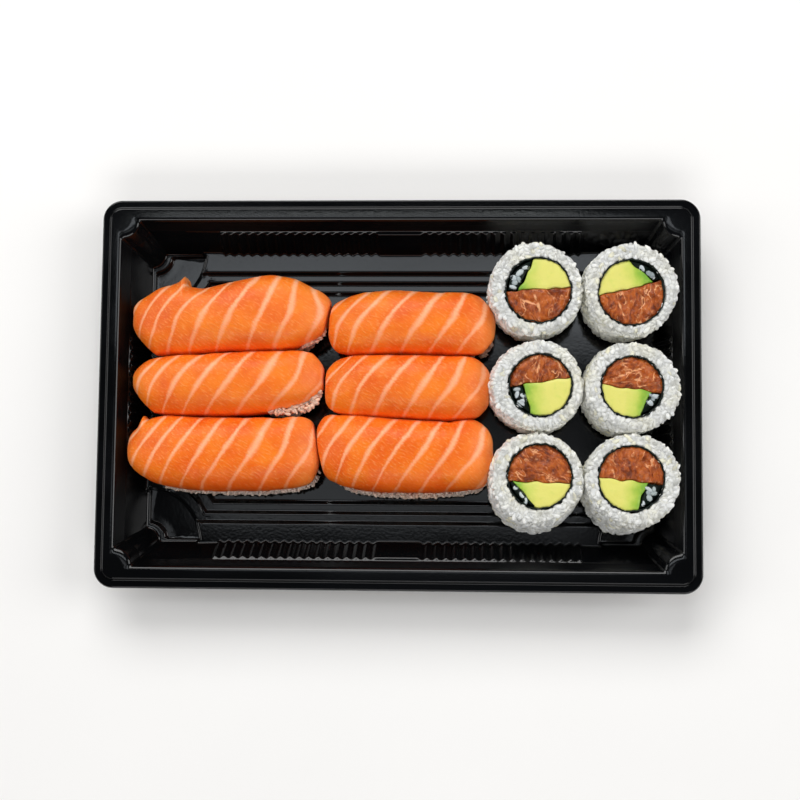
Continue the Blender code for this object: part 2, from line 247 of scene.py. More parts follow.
# ---------------------------------------------------------------- finishes
class Sketch:
    """Builds a node material around one Principled shader."""

    def __init__(self, name: str, **settings: Any) -> None:
        """Makes the material.

        Args:
            name: The material's name.
            **settings: Values for the shader's own sockets, with _ for a space.
        """
        self.material = bpy.data.materials.new(name)
        self.material.use_nodes = True
        self.tree = self.material.node_tree
        self.shader = self.tree.nodes["Principled BSDF"]
        for key, value in settings.items():
            self.shader.inputs[key.replace("_", " ")].default_value = value
        self.place = self.add("ShaderNodeTexCoord").outputs["Object"]

    def add(self, kind: str, inputs: dict[Any, Any] | None = None, **settings: Any) -> bpy.types.Node:
        """Adds a node.

        Args:
            kind: Blender's name for the node's type.
            inputs: A value or a socket for each input, by name or number.
            **settings: The node's own properties.

        Returns:
            The node.
        """
        node = self.tree.nodes.new(kind)
        for key, value in settings.items():
            setattr(node, key, value)
        for key, value in (inputs or {}).items():
            if isinstance(value, Socket):
                self.tree.links.new(value, node.inputs[key])
            else:
                node.inputs[key].default_value = value
        return node

    def math(self, operation: str, *values: Any) -> Socket:
        """The result of a math node on values or sockets."""
        return self.add("ShaderNodeMath", dict(enumerate(values)), operation=operation).outputs[0]

    def plus(self, first: Any, second: Any) -> Socket:
        """The sum of two values or sockets."""
        return self.math("ADD", first, second)

    def times(self, first: Any, second: Any) -> Socket:
        """The product of two values or sockets."""
        return self.math("MULTIPLY", first, second)

    def attribute(self, name: str) -> Socket:
        """One of the piece's own numbers."""
        return self.add("ShaderNodeAttribute", attribute_name=name).outputs["Fac"]

    def noise(self, scale: float, detail: float = 3.0, stretch: Color = (1.0, 1.0, 1.0)) -> Socket:
        """Noise on the piece's own coordinates.

        Args:
            scale: Swellings in a metre.
            detail: Layers of finer noise.
            stretch: How much denser it is along each axis.

        Returns:
            The noise, from 0 to 1.
        """
        place = self.add("ShaderNodeMapping", {"Vector": self.place, "Scale": stretch}).outputs[0]
        return self.noise_at(place, scale, detail)

    def noise_at(self, place: Socket, scale: float = 1.0, detail: float = 3.0) -> Socket:
        """Noise on coordinates of the material's own."""
        inputs = {"Vector": place, "Scale": scale, "Detail": detail}
        return self.add("ShaderNodeTexNoise", inputs).outputs["Fac"]

    def pair(self, first: Any, second: Any) -> Socket:
        """Coordinates made of two values or sockets."""
        return self.add("ShaderNodeCombineXYZ", {0: first, 1: second}).outputs[0]

    def span(self, value: Any, low: float, high: float, to_low: float = 0.0, to_high: float = 1.0) -> Any:
        """Maps a range of a value smoothly onto another range."""
        sockets = {0: value, 1: low, 2: high, 3: to_low, 4: to_high}
        return self.add("ShaderNodeMapRange", sockets, interpolation_type="SMOOTHSTEP").outputs[0]

    def ramp(self, value: Any, stops: Sequence[tuple[float, Color]]) -> Socket:
        """Colours along a value.

        Args:
            value: The socket that chooses.
            stops: Where each colour lies, from 0 to 1.

        Returns:
            The colour.
        """
        node = self.add("ShaderNodeValToRGB", {0: value})
        elements = node.color_ramp.elements
        while len(elements) < len(stops):
            elements.new(0.5)
        for element, (where, color) in zip(elements, stops):
            element.position = where
            element.color = (*color, 1.0)
        return node.outputs[0]

    def blend(self, share: Any, first: Any, second: Any) -> Socket:
        """Goes from one colour to another.

        Args:
            share: How much of the second colour shows.
            first: A colour or a socket.
            second: The other one.

        Returns:
            The blend.
        """
        first, second = (c if isinstance(c, Socket) else (*c, 1.0) for c in (first, second))
        node = self.add("ShaderNodeMix", {0: share, 6: first, 7: second}, data_type="RGBA")
        return node.outputs[2]

    def color(self, value: Any) -> None:
        """Feeds the shader's base colour."""
        self.tree.links.new(value, self.shader.inputs["Base Color"])

    def roughness(self, value: Any) -> None:
        """Feeds the shader's roughness."""
        self.tree.links.new(value, self.shader.inputs["Roughness"])

    def relief(self, *layers: tuple[Any, float]) -> None:
        """Adds bumps.

        Args:
            *layers: Each height from 0 to 1, and how deep it is in millimetres.
        """
        normal: Any = None
        for height, depth in layers:
            inputs = {"Height": height, "Distance": depth * MM, "Strength": 1.0}
            if normal is not None:
                inputs["Normal"] = normal
            normal = self.add("ShaderNodeBump", inputs).outputs[0]
        self.tree.links.new(normal, self.shader.inputs["Normal"])


@dataclass(frozen=True)
class BlackPlastic:
    """Glossy black formed sheet with faint flow marks."""

    dark: Color = (0.0012, 0.0013, 0.0015)
    light: Color = (0.0025, 0.0028, 0.0034)
    gloss: tuple[float, float] = (0.06, 0.12)
    drawn: float = 0.22  # how much rougher the steep walls are

    def material(self) -> Material:
        """Makes the material.

        Returns:
            The material.
        """
        sketch = Sketch("black_plastic", Specular_IOR_Level=0.36)
        marks = sketch.noise(30.0, 4.0, (0.35, 1.6, 1.0))
        sketch.color(sketch.ramp(marks, [(0.3, self.dark), (0.7, self.light)]))
        matt = sketch.times(sketch.attribute("steep"), self.drawn)
        sketch.roughness(sketch.plus(sketch.span(marks, 0.3, 0.7, *self.gloss), matt))
        sketch.relief((sketch.noise(60.0, 2.0), 0.02), (sketch.noise(900.0, 2.0), 0.01))
        return sketch.material


@dataclass(frozen=True)
class SalmonFlesh:
    """Raw salmon with pale lines of fat between its flakes, and short fibres across them, with painted light:
    a sheen that pales the top and strengthens the fat lines to the north, and shade that deepens the south
    side.
    """

    numbers: ClassVar[tuple[str, ...]] = ("flake", "run", "fat_and_sheen", "pale", "deep_red_and_shade")
    deep: Color = (0.78, 0.105, 0.004)
    flesh: Color = (0.91, 0.205, 0.010)
    pale: Color = (0.95, 0.36, 0.11)
    fat: Color = (0.98, 0.43, 0.22)
    # Deeper red: painted shade on a slice's south side, and also used along its north edge.
    deep_red_and_shade: Color = (0.84, 0.085, 0.002)
    half_line: tuple[float, float] = (0.065, 0.115)  # share of a flake

    def material(self) -> Material:
        """Makes the material.

        Returns:
            The material.
        """
        sketch = Sketch(
            "salmon_flesh", Subsurface_Weight=0.2, Subsurface_Radius=(1.0, 0.3, 0.1), Subsurface_Scale=0.003,
            Specular_IOR_Level=0.22, Coat_Weight=0.03, Coat_Roughness=0.2,
        )
        uneven = sketch.span(sketch.noise(160.0), 0.2, 0.8, -0.02, 0.02)
        flake = sketch.plus(sketch.attribute("flake"), uneven)
        across = sketch.times(flake, 4.2)
        along = sketch.times(sketch.attribute("run"), 1.3)
        weave = sketch.pair(across, along)
        fibers = sketch.noise_at(weave)
        inside = sketch.math("PINGPONG", flake, 0.5)
        width = sketch.span(sketch.noise(85.0, 2.0), 0.3, 0.7, *self.half_line)
        inside = sketch.plus(inside, sketch.span(fibers, 0.3, 0.7, -0.03, 0.03))
        # The fat lines' strength, with a painted sheen: stronger towards the lit north, fainter to the south.
        fat_and_sheen = sketch.attribute("fat_and_sheen")
        width = sketch.times(width, sketch.plus(fat_and_sheen, 0.35))
        share = sketch.math("DIVIDE", inside, width)
        line = sketch.times(sketch.span(share, 1.5, 0.1), fat_and_sheen)
        body = sketch.ramp(sketch.noise(90.0, 5.0), [(0.3, self.deep), (0.65, self.flesh)])
        grain = sketch.span(fibers, 0.48, 0.72)
        body = sketch.blend(sketch.times(grain, 0.42), body, self.pale)
        # Deeper red: painted shade towards the south of a slice, and a deeper north edge.
        body = sketch.blend(sketch.attribute("deep_red_and_shade"), body, self.deep_red_and_shade)
        # Pale flesh, which also carries a painted highlight on the slice's top.
        body = sketch.blend(sketch.attribute("pale"), body, self.pale)
        sketch.color(sketch.blend(line, body, self.fat))
        sketch.roughness(sketch.span(sketch.noise(500.0), 0.3, 0.7, 0.30, 0.5))
        sketch.relief((fibers, 0.22), (sketch.noise(1800.0, 3.0), 0.06))
        return sketch.material


@dataclass(frozen=True)
class CookedRice:
    """Grains of sushi rice, or the mass below them, in a white of its own."""

    name: str = "rice_grain"
    dull: Color = (0.78, 0.775, 0.72)
    white: Color = (0.91, 0.905, 0.85)
    cream: Color = (0.90, 0.85, 0.62)

    def material(self) -> Material:
        """Makes the material.

        Returns:
            The material.
        """
        sketch = Sketch(
            self.name, Subsurface_Weight=0.5, Subsurface_Radius=(1.0, 0.95, 0.85), Subsurface_Scale=0.002,
            Specular_IOR_Level=0.3,
        )
        tone = sketch.attribute("tone")
        tones = [(0.0, self.dull), (0.35, self.white), (0.86, self.white), (1.0, self.cream)]
        color = sketch.ramp(tone, tones)
        warm = sketch.times(sketch.span(sketch.noise(70.0, 2.0), 0.45, 0.7), 0.5)
        color = sketch.blend(warm, color, self.cream)
        cloud = sketch.span(sketch.noise(260.0, 3.0), 0.35, 0.7)
        sketch.color(sketch.blend(sketch.times(cloud, 0.2), color, self.dull))
        sketch.roughness(sketch.span(sketch.noise(600.0), 0.3, 0.7, 0.3, 0.5))
        sketch.relief((sketch.noise(1500.0, 3.0), 0.05))
        return sketch.material


@dataclass(frozen=True)
class Seaweed:
    """Dark green-black nori, wrinkled and damp."""

    black: Color = (0.002, 0.004, 0.003)
    green: Color = (0.008, 0.018, 0.012)

    def material(self) -> Material:
        """Makes the material.

        Returns:
            The material.
        """
        sketch = Sketch("seaweed", Specular_IOR_Level=0.2)
        sketch.color(sketch.ramp(sketch.noise(350.0, 4.0), [(0.35, self.black), (0.75, self.green)]))
        sketch.roughness(sketch.span(sketch.noise(500.0), 0.3, 0.7, 0.35, 0.6))
        sketch.relief((sketch.noise(900.0, 3.0), 0.2))
        return sketch.material


@dataclass(frozen=True)
class ChoppedSalmon:
    """Cut salmon inside a roll: brownish orange, fibrous and wet."""

    brown: Color = (0.13, 0.020, 0.004)
    orange: Color = (0.34, 0.068, 0.009)
    light: Color = (0.52, 0.132, 0.024)
    pale: Color = (0.80, 0.37, 0.17)
    drawn: float = 0.16  # how much longer than wide a fibre's swellings are, as a share

    def material(self) -> Material:
        """Makes the material.

        Returns:
            The material.
        """
        sketch = Sketch(
            "chopped_salmon", Subsurface_Weight=0.2, Subsurface_Radius=(1.0, 0.3, 0.15),
            Subsurface_Scale=0.002, Coat_Weight=0.05, Coat_Roughness=0.12, Specular_IOR_Level=0.25,
        )
        fiber, along = sketch.attribute("fiber"), sketch.attribute("along")
        fiber = sketch.plus(fiber, sketch.span(sketch.noise(130.0, 2.0), 0.2, 0.8, -0.4, 0.4))
        fine, broad = (self.weave(sketch, fiber, along, scale) for scale in (2.6, 0.8))
        tone = sketch.plus(sketch.times(fine, 0.55), sketch.times(broad, 0.45))
        body = sketch.ramp(tone, [(0.36, self.brown), (0.49, self.orange), (0.62, self.light)])
        dark = sketch.times(sketch.span(sketch.noise(260.0, 3.0), 0.52, 0.72), 0.75)
        body = sketch.blend(dark, body, self.brown)
        ridge = sketch.math("ABSOLUTE", sketch.math("SUBTRACT", broad, 0.5))
        line = sketch.times(sketch.span(ridge, 0.03, 0.0), sketch.span(sketch.noise(190.0), 0.47, 0.6))
        split = sketch.plus(sketch.attribute("split"), sketch.span(sketch.noise(400.0), 0.3, 0.7, -0.2, 0.25))
        line = sketch.math("MAXIMUM", line, sketch.span(split, 0.5, 0.05))
        specks = sketch.times(sketch.span(sketch.noise(620.0, 3.0), 0.6, 0.75), 0.45)
        line = sketch.math("MAXIMUM", line, specks)
        sketch.color(sketch.blend(line, body, self.pale))
        sketch.roughness(sketch.span(sketch.noise(700.0), 0.3, 0.7, 0.2, 0.42))
        sketch.relief((fine, 0.5), (sketch.noise(900.0, 4.0), 0.25))
        return sketch.material

    def weave(self, sketch: Sketch, fiber: Any, along: Any, scale: float) -> Socket:
        """Makes noise that is drawn out along the fibres.

        Args:
            sketch: The material.
            fiber: The count of fibres.
            along: The place along them.
            scale: Swellings for each fibre.

        Returns:
            The noise, from 0 to 1.
        """
        across, run = sketch.times(fiber, scale), sketch.times(along, scale * self.drawn)
        return sketch.noise_at(sketch.pair(across, run))


@dataclass(frozen=True)
class AvocadoFlesh:
    """Avocado: yellow at its heart, and green towards its skin."""

    heart: Color = (0.74, 0.70, 0.165)
    middle: Color = (0.56, 0.63, 0.105)
    rind: Color = (0.33, 0.50, 0.045)
    skin: Color = (0.17, 0.38, 0.025)

    def material(self) -> Material:
        """Makes the material.

        Returns:
            The material.
        """
        sketch = Sketch(
            "avocado_flesh", Subsurface_Weight=0.15, Subsurface_Radius=(0.9, 1.0, 0.3),
            Subsurface_Scale=0.0015, Coat_Weight=0.1, Coat_Roughness=0.25,
        )
        depth = sketch.plus(sketch.attribute("depth"), sketch.span(sketch.noise(200.0), 0.2, 0.8, -1.2, 1.2))
        share = sketch.span(depth, 0.0, 11.0)
        stops = [(0.0, self.skin), (0.2, self.rind), (0.48, self.middle), (0.95, self.heart)]
        body = sketch.ramp(share, stops)
        flecks = sketch.times(sketch.span(sketch.noise(420.0, 3.0), 0.5, 0.75), 0.35)
        sketch.color(sketch.blend(flecks, body, self.middle))
        sketch.roughness(sketch.span(sketch.noise(500.0), 0.3, 0.7, 0.34, 0.5))
        sketch.relief((sketch.noise(420.0, 3.0), 0.16))
        return sketch.material


# ---------------------------------------------------------------- the tray
class Corner(Enum):
    """How an outline of the tray turns its corner."""

    ROUND = "round"
    LUG = "lug"


@dataclass(frozen=True)
class Station:
    """One outline of the sheet: its half length, half width, height and corner radius."""

    end: float
    side: float
    z: float
    radius: float
    corner: Corner

    def towards(self, other: "Station", share: float) -> "Station":
        """A station on the way to another one."""
        keys = ("end", "side", "z", "radius")
        return Station(*(mix(getattr(self, key), getattr(other, key), share) for key in keys), self.corner)

    def apart(self, other: "Station") -> float:
        """How far another station lies across the sheet."""
        return math.hypot(self.side - other.side, self.z - other.z)


def softened(before: Station, at: Station, after: Station, cut: float, count: int) -> list[Station]:
    """Rounds off a bend of the sheet.

    Args:
        before: The station before the bend.
        at: The bend.
        after: The station after it.
        cut: How far from the bend the round starts.
        count: How many stations the round has.

    Returns:
        The stations of the round.
    """
    start = at.towards(before, cut / at.apart(before))
    finish = at.towards(after, cut / at.apart(after))
    rows = []
    for step in range(count):
        share = step / (count - 1)
        rows.append(start.towards(at, share).towards(at.towards(finish, share), share))
    return rows


@dataclass
class Tray:
    """The tray: one formed sheet, from its turned-down lip to the middle of its floor."""

    sheet: float = 0.6
    lip_drop: float = 1.2
    flange_drop: float = 1.4
    flange: float = 0.3  # insets from the lip's outer edge
    flange_inner: float = 3.1
    land: float = 3.6
    rim: tuple[float, float] = (7.6, 8.2)
    foot: tuple[float, float] = (15.6, 17.0)
    band_z: float = 3.2
    ledge: tuple[float, float] = (0.33, 14.9)
    ledge_steps: tuple[float, ...] = (3.0, 1.2, 0.3, 0.1, 0.0, -0.1, -0.2, -0.3, -0.4, -0.6, -1.2, -5.0, -9.0)
    round_corners: tuple[float, float] = (7.4, 4.2)
    lug: tuple[float, float] = (6.6, 5.2)
    lug_fillet: float = 1.3
    pad_radius: float = 20.6
    pad_riser: float = 1.5
    steps: tuple[tuple[float, float, float], ...] = ((8.2, 2.3, 0.8), (12.0, 1.6, 0.8), (16.0, 1.0, 0.8))
    step_radii: tuple[float, float] = (26.0, 30.5)
    step_soft: float = 0.3
    step_rows: int = 4
    rib_pitch: float = 3.6
    rib_points: int = 5
    panel: float = 8.0  # half width of the smooth panel between the long walls' ribs
    long_ribs: int = 17
    end_ribs: int = 6
    rib_depth: tuple[float, float] = (0.35, 1.25)
    foot_round: float = 0.7
    shelf: tuple[float, float, float] = (1.9, 0.9, 1.6)  # height, and where its slope starts and ends
    arc_turns: tuple[float, ...] = (0.0, 6.5, 13.0, 18.6, 20.0, 21.4, 22.8, 24.2, 31.0, 38.0)
    rim_round: float = 1.3
    rows: list[Station] = field(default_factory=list)

    def __post_init__(self) -> None:
        """Takes the main sizes from the frame, and lays out the columns."""
        low, high = corners("tray")
        self.lip = (high - low) / 2
        self.top = high.z
        self.foot_half = (self.lip.x - self.foot[0], self.lip.y - self.foot[1])
        self.rim_half = (self.lip.x - self.rim[0], self.lip.y - self.rim[1])
        self.slope_top = self.pad_radius + self.pad_riser
        self.pad_columns = [self.slope_top + 0.6]
        self.pad_columns += [self.slope_top - self.pad_riser * n / 5 for n in range(6)]
        self.pad_columns += [self.pad_radius - 0.6, 14.6, 11.0]
        self.pad_columns = [column - self.shelf[2] for column in self.pad_columns]
        self.slope = (self.pad_radius - self.shelf[2], self.slope_top - self.shelf[2])
        self.arc = [math.radians(turn) for turn in self.arc_turns]
        self.arc += [math.pi / 4, *(math.pi / 2 - turn for turn in reversed(self.arc))]
        self.lug_columns = len(self.arc)
        count = self.rib_points
        ribs = [self.panel + self.rib_pitch * n / count for n in range(self.long_ribs * count + 1)]
        self.long_columns = [0.0, self.panel / 2, self.panel - 0.8, *ribs]
        self.long_columns += [self.long_columns[-1] + step for step in (0.6, 1.2)]
        self.end_columns = [self.rib_pitch * n / count for n in range(self.end_ribs * count + 1)]
        self.end_columns += [self.end_columns[-1] + step for step in (0.6, 1.2)]

    def wall(self, z: float) -> Station:
        """Works out the cavity's outline, which flares in two slopes.

        Args:
            z: The height.

        Returns:
            The outline there.
        """
        share, ledge_z = self.ledge
        if z > ledge_z:
            used = share * (self.top - z) / (self.top - ledge_z)
        else:
            used = share + (1 - share) * (ledge_z - z) / (ledge_z - self.band_z)
        end = mix(self.rim_half[0], self.foot_half[0], used)
        side = mix(self.rim_half[1], self.foot_half[1], used)
        return Station(end, side, z, mix(*self.lug, used), Corner.LUG)

    def rib(self, along: float, z: float, panel: float, last: float) -> float:
        """How far a wall's ribs stand into the cavity.

        Args:
            along: The distance from the middle of the wall.
            z: The height.
            panel: Half the width of the smooth panel in the middle.
            last: Where the ribs end.

        Returns:
            The distance inwards.
        """
        valley, crest = self.rib_depth
        wave = 0.5 + 0.5 * math.cos(2 * math.pi * max(along - panel, 0.0) / self.rib_pitch)
        depth = mix(valley, crest, wave) * (1 - smooth(along, last, last + 1.0))
        return max(depth, 0.2) * (1 - smooth(z, self.ledge[1] - 0.4, self.ledge[1] + 0.1))

    def outline(self, row: Station) -> list[Point]:
        """Lays one row over a quarter of the tray, from the long wall's middle to the end wall's.

        Args:
            row: The outline.

        Returns:
            Its points.
        """
        end, side, z = row.end, row.side, row.z
        if row.corner is Corner.ROUND:
            start, turn = row.radius, self.round_turn(row)
        else:
            start, turn = math.sqrt(row.radius**2 + 2 * row.radius * self.lug_fillet), self.lug_turn(row)
        near, lug = self.pad_columns[-3], self.lug[0]
        reach = [r if r >= near else mix(start, near, (r - lug) / (near - lug)) for r in self.pad_columns]
        points = [(x, side, z) for x in self.long_columns] + [(end - r, side, z) for r in reach]
        points += [(x, y, z) for x, y in turn]
        points += [(end, side - r, z) for r in reversed(reach)]
        points += [(end, y, z) for y in reversed(self.end_columns)]
        return points

    def round_turn(self, row: Station) -> list[tuple[float, float]]:
        """Lays a convex corner.

        Args:
            row: The outline that turns there.

        Returns:
            The corner's points.
        """
        turns = [math.pi / 2 * (1 - n / (self.lug_columns - 1)) for n in range(self.lug_columns)]
        middle = (row.end - row.radius, row.side - row.radius)
        return [(middle[0] + row.radius * math.cos(t), middle[1] + row.radius * math.sin(t)) for t in turns]

    def lug_turn(self, row: Station) -> list[tuple[float, float]]:
        """Lays the turn round a corner lug: a fillet, the lug's arc and another fillet.

        Args:
            row: The outline that turns there.

        Returns:
            The turn's points.
        """
        fillet, radius = self.lug_fillet, row.radius
        start = math.sqrt(radius**2 + 2 * radius * fillet)
        least = math.atan2(fillet, start)
        points = []
        for n in range(4):
            turn = mix(math.pi / 2, least, n / 4)
            x = row.end - start + fillet * math.cos(turn)
            points.append((x, row.side - fillet + fillet * math.sin(turn)))
        last = self.lug_columns - 9
        for n in range(last + 1):
            turn = mix(math.pi + least, 1.5 * math.pi - least, n / last)
            points.append((row.end + radius * math.cos(turn), row.side + radius * math.sin(turn)))
        mirrored = [(row.end - (row.side - y), row.side - (row.end - x)) for x, y in reversed(points[:4])]
        return points + mirrored

    def ribbed(self, points: list[Point]) -> list[Point]:
        """Moves a wall's row in by its ribs.

        Args:
            points: The row on the plain wall.

        Returns:
            The row on the ribs.
        """
        last_long = self.panel + self.rib_pitch * self.long_ribs
        last_end = self.rib_pitch * self.end_ribs
        moved = []
        for n, (x, y, z) in enumerate(points):
            if n < len(self.long_columns):
                y -= self.rib(x, z, self.panel, last_long)
            elif n >= len(points) - len(self.end_columns):
                x -= self.rib(y, z, 0.0, last_end)
            moved.append((x, y, z))
        return moved

    def foot_heights(self, low: float) -> list[float]:
        """The height of the floor at each column.

        Args:
            low: The height on the feet; elsewhere it is the band's.

        Returns:
            The heights.
        """
        pad = [mix(low, self.band_z, smooth(r, *self.slope)) for r in self.pad_columns]
        heights = [self.band_z] * len(self.long_columns) + pad + [low] * self.lug_columns
        return heights + pad[::-1] + [self.band_z] * len(self.end_columns)

    def foot_rows(self) -> list[list[Point]]:
        """Lays the round below the walls, and the narrow shelf round each foot.

        Returns:
            Their rows, from the wall inwards.
        """
        rows = []
        shelf_z, start, finish = self.shelf
        high, low = self.foot_heights(shelf_z), self.foot_heights(self.sheet)
        for share in (0.0, 0.25, 0.5, 0.75, 1.0):
            points = []
            for n, z in enumerate(high):
                bend, above = self.wall(z), self.wall(z + self.foot_round)
                within = self.inset(z, self.foot_round)
                row = above.towards(bend, share).towards(bend.towards(within, share), share)
                points.append(self.ribbed(self.outline(row))[n])
            rows.append(points)
        for share in (0.0, 0.25, 0.5, 0.75, 1.0):
            points = []
            for n, z in enumerate(high):
                row = self.inset(z, mix(start, finish, share))
                x, y, _ = self.ribbed(self.outline(row))[n]
                points.append((x, y, mix(z, low[n], smooth(share, 0.0, 1.0))))
            rows.append(points)
        return rows

    def inset(self, z: float, distance: float) -> Station:
        """An outline inside the wall's foot at a height."""
        foot = self.wall(z)
        return Station(foot.end - distance, foot.side - distance, z, foot.radius + distance, Corner.LUG)

    def wall_rows(self) -> list[list[Point]]:
        """Lays the sheet from its lip over the rim and down the walls.

        Returns:
            Its rows, down to the floor.
        """
        end, side = self.lip.x, self.lip.y
        flange_z = self.top - self.flange_drop
        outer, inner = self.round_corners
        lip = Station(end, side, flange_z - self.lip_drop, outer, Corner.ROUND)
        flange = Station(end - self.flange, side - self.flange, flange_z, outer, Corner.ROUND)
        root = Station(end - self.flange_inner, side - self.flange_inner, flange_z, inner + 0.5, Corner.ROUND)
        land = Station(end - self.land, side - self.land, self.top, inner, Corner.ROUND)
        rim_end, rim_side = self.rim_half
        within = Station(rim_end + 0.5, rim_side + 0.5, self.top, inner, Corner.ROUND)
        before = Station(rim_end + 1.5, rim_side + 1.5, self.top, self.lug[0] - 1.5, Corner.LUG)
        rim, ledge = self.wall(self.top), self.wall(self.ledge[1])
        stations = [lip, *softened(lip, flange, root, 0.5, 4), *softened(flange, root, land, 0.35, 4)]
        stations += [*softened(root, land, within, 0.5, 5), *softened(before, rim, ledge, self.rim_round, 9)]
        levels = [self.ledge[1] + step for step in self.ledge_steps]
        rows = [self.outline(row) for row in stations]
        return rows + [self.ribbed(self.outline(self.wall(z))) for z in levels] + self.foot_rows()

    def pad_patch(self, bm: BMesh, foot: list[Point]) -> list[Point]:
        """Adds the floor of a foot and the slope round it.

        Args:
            bm: The mesh that gets them.
            foot: The lowest row of the walls.

        Returns:
            The points along the top of the slope.
        """
        first = len(self.long_columns) + len(self.pad_columns)
        last = first + self.lug_columns - 1
        corner = Vector(self.foot_half)

        def polar(n: int) -> tuple[float, float]:
            """A point of the row by its distance and direction from the corner."""
            away = corner - Vector(foot[n][:2])
            return away.length, math.atan2(away.y, away.x)

        lug = [polar(first + n) for n in range(self.lug_columns)]
        arc = self.arc_angles(self.slope_top, self.shelf[2])
        grid = [foot[first: last + 1]]
        pads = list(reversed(self.pad_columns))
        for row, pad in enumerate(pads, start=1):
            (r_a, turn_a), (r_b, turn_b) = polar(first - row), polar(last + row)
            points = [foot[first - row]]
            for n in range(1, self.lug_columns - 1):
                turn = mix(lug[n][1], arc[n], row / len(pads))
                share = (turn - turn_a) / (turn_b - turn_a)
                radius = mix(r_a, r_b, share)
                x, y = corner.x - radius * math.cos(turn), corner.y - radius * math.sin(turn)
                top = self.arc_height(self.slope_top * math.sin(min(turn, math.pi / 2 - turn)))
                points.append((x, y, mix(self.sheet, top, smooth(pad, *self.slope))))
            grid.append([*points, foot[last + row]])
        warped_grid(bm, self.lug_columns, len(grid), lambda column, row: grid[row][column])
        return grid[-1]

    def arc_angles(self, radius: float, inset: float) -> list[float]:
        """The columns' directions on an arc round a foot, close together where the first step meets it.

        Args:
            radius: The arc's radius.
            inset: How far from the walls it starts and ends.

        Returns:
            The directions, from the long wall to the end wall.
        """
        start, _, width = self.steps[0]
        least = math.asin(inset / radius)
        first = max(math.asin((start - self.step_soft) / radius), least + 0.02)
        second = max(math.asin((start + width + self.step_soft) / radius), first + 0.03)
        bends = [(0.0, least), (self.arc[3], first), (self.arc[7], second), (math.pi / 4, math.pi / 4)]
        half = [along_list(bends, turn) for turn in self.arc[: self.lug_columns // 2]]
        return [*half, math.pi / 4, *(math.pi / 2 - turn for turn in reversed(half))]

    def arc_height(self, reach: float) -> float:
        """The floor's height beside a foot, on the band or on the first terrace."""
        return self.step_height(min(reach, self.steps[0][0] + self.steps[0][2] + self.step_soft))

    def step_height(self, inset: float) -> float:
        """Works out how low the terraces have brought the floor.

        Args:
            inset: The distance from the walls' foot.

        Returns:
            The floor's height there.
        """
        z = self.band_z
        for start, lower, width in self.steps:
            z = mix(z, lower, smooth(inset, start - self.step_soft, start + width + self.step_soft))
        return z

    def floor_patch(self, bm: BMesh, foot: list[Point], arc: list[Point]) -> None:
        """Adds the band, the terraces and the middle of the floor.

        Args:
            bm: The mesh that gets them.
            foot: The lowest row of the walls.
            arc: The top of the slope round the foot.
        """
        base = [*foot[: len(self.long_columns)], *arc, *foot[-len(self.end_columns):]]
        first = self.slope_top + 0.6
        grid = [base, self.floor_row(3.4, first + 0.4, True)]
        radii = (first + 1.4, *self.step_radii)
        for number, (start, _, width) in enumerate(self.steps):
            span = width + 2 * self.step_soft
            shares = [-0.4, *(n / self.step_rows for n in range(self.step_rows + 1)), 1.4]
            for share in shares:
                inset = start - self.step_soft + span * share
                grid.append(self.floor_row(inset, radii[number] + 1.4 * share, number == 0))
        grid += [[(x * share, y * share, z) for x, y, z in grid[-1]] for share in (0.5, 0.0)]
        warped_grid(bm, len(base), len(grid), lambda column, row: grid[row][column])

    def floor_row(self, inset: float, radius: float, crossed: bool) -> list[Point]:
        """One row of the floor, parallel to the walls and round the foot.

        Args:
            inset: Its distance from the walls' foot.
            radius: The radius of its arc round the foot.
            crossed: Whether the first step crosses the arc, and not the arc the step.

        Returns:
            Its points.
        """
        corner = Vector(self.foot_half)
        end, side = corner.x - inset, corner.y - inset
        z = self.step_height(inset)
        turn = []
        for angle in self.arc_angles(radius, inset):
            x, y = corner.x - radius * math.cos(angle), corner.y - radius * math.sin(angle)
            turn.append((x, y, self.arc_height(min(corner.x - x, corner.y - y)) if crossed else z))
        share = min(1.0, (turn[0][0] - 0.5) / self.long_columns[-1])
        points = [(x * share, side, z) for x in self.long_columns]
        return points + turn + [(end, y, z) for y in reversed(self.end_columns)]

    def build(self, finish: BlackPlastic) -> Piece:
        """Models the tray.

        Args:
            finish: Its plastic.

        Returns:
            The piece.
        """
        bm = bmesh.new()
        rows = self.wall_rows()
        warped_grid(bm, len(rows[0]), len(rows), lambda column, row: rows[row][column])
        arc = self.pad_patch(bm, rows[-1])
        self.floor_patch(bm, rows[-1], arc)
        bmesh.ops.remove_doubles(bm, verts=bm.verts, dist=0.005)
        bmesh.ops.dissolve_degenerate(bm, edges=bm.edges, dist=0.001)
        for axis in "XY":
            bmesh.ops.mirror(bm, geom=[*bm.verts, *bm.edges, *bm.faces], merge_dist=0.01, axis=axis)
        bmesh.ops.remove_doubles(bm, verts=bm.verts, dist=0.005)
        bmesh.ops.recalc_face_normals(bm, faces=bm.faces)
        if sum(face.normal.z * face.calc_area() for face in bm.faces) < 0:
            bmesh.ops.reverse_faces(bm, faces=bm.faces)
        bm.normal_update()
        steep = bm.verts.layers.float.new("steep")
        for vert in bm.verts:
            vert[steep] = smooth(0.5 - abs(vert.normal.z), 0.0, 0.15)
        piece = finish_piece(bm, "formed_tray", finish.material(), ["tray"], closed=False)
        wall = piece.modifiers.new("sheet", "SOLIDIFY")
        wall.thickness = self.sheet * MM
        wall.offset = -1
        flats = piece.modifiers.new("flats", "WEIGHTED_NORMAL")
        flats.weight = 100
        return piece


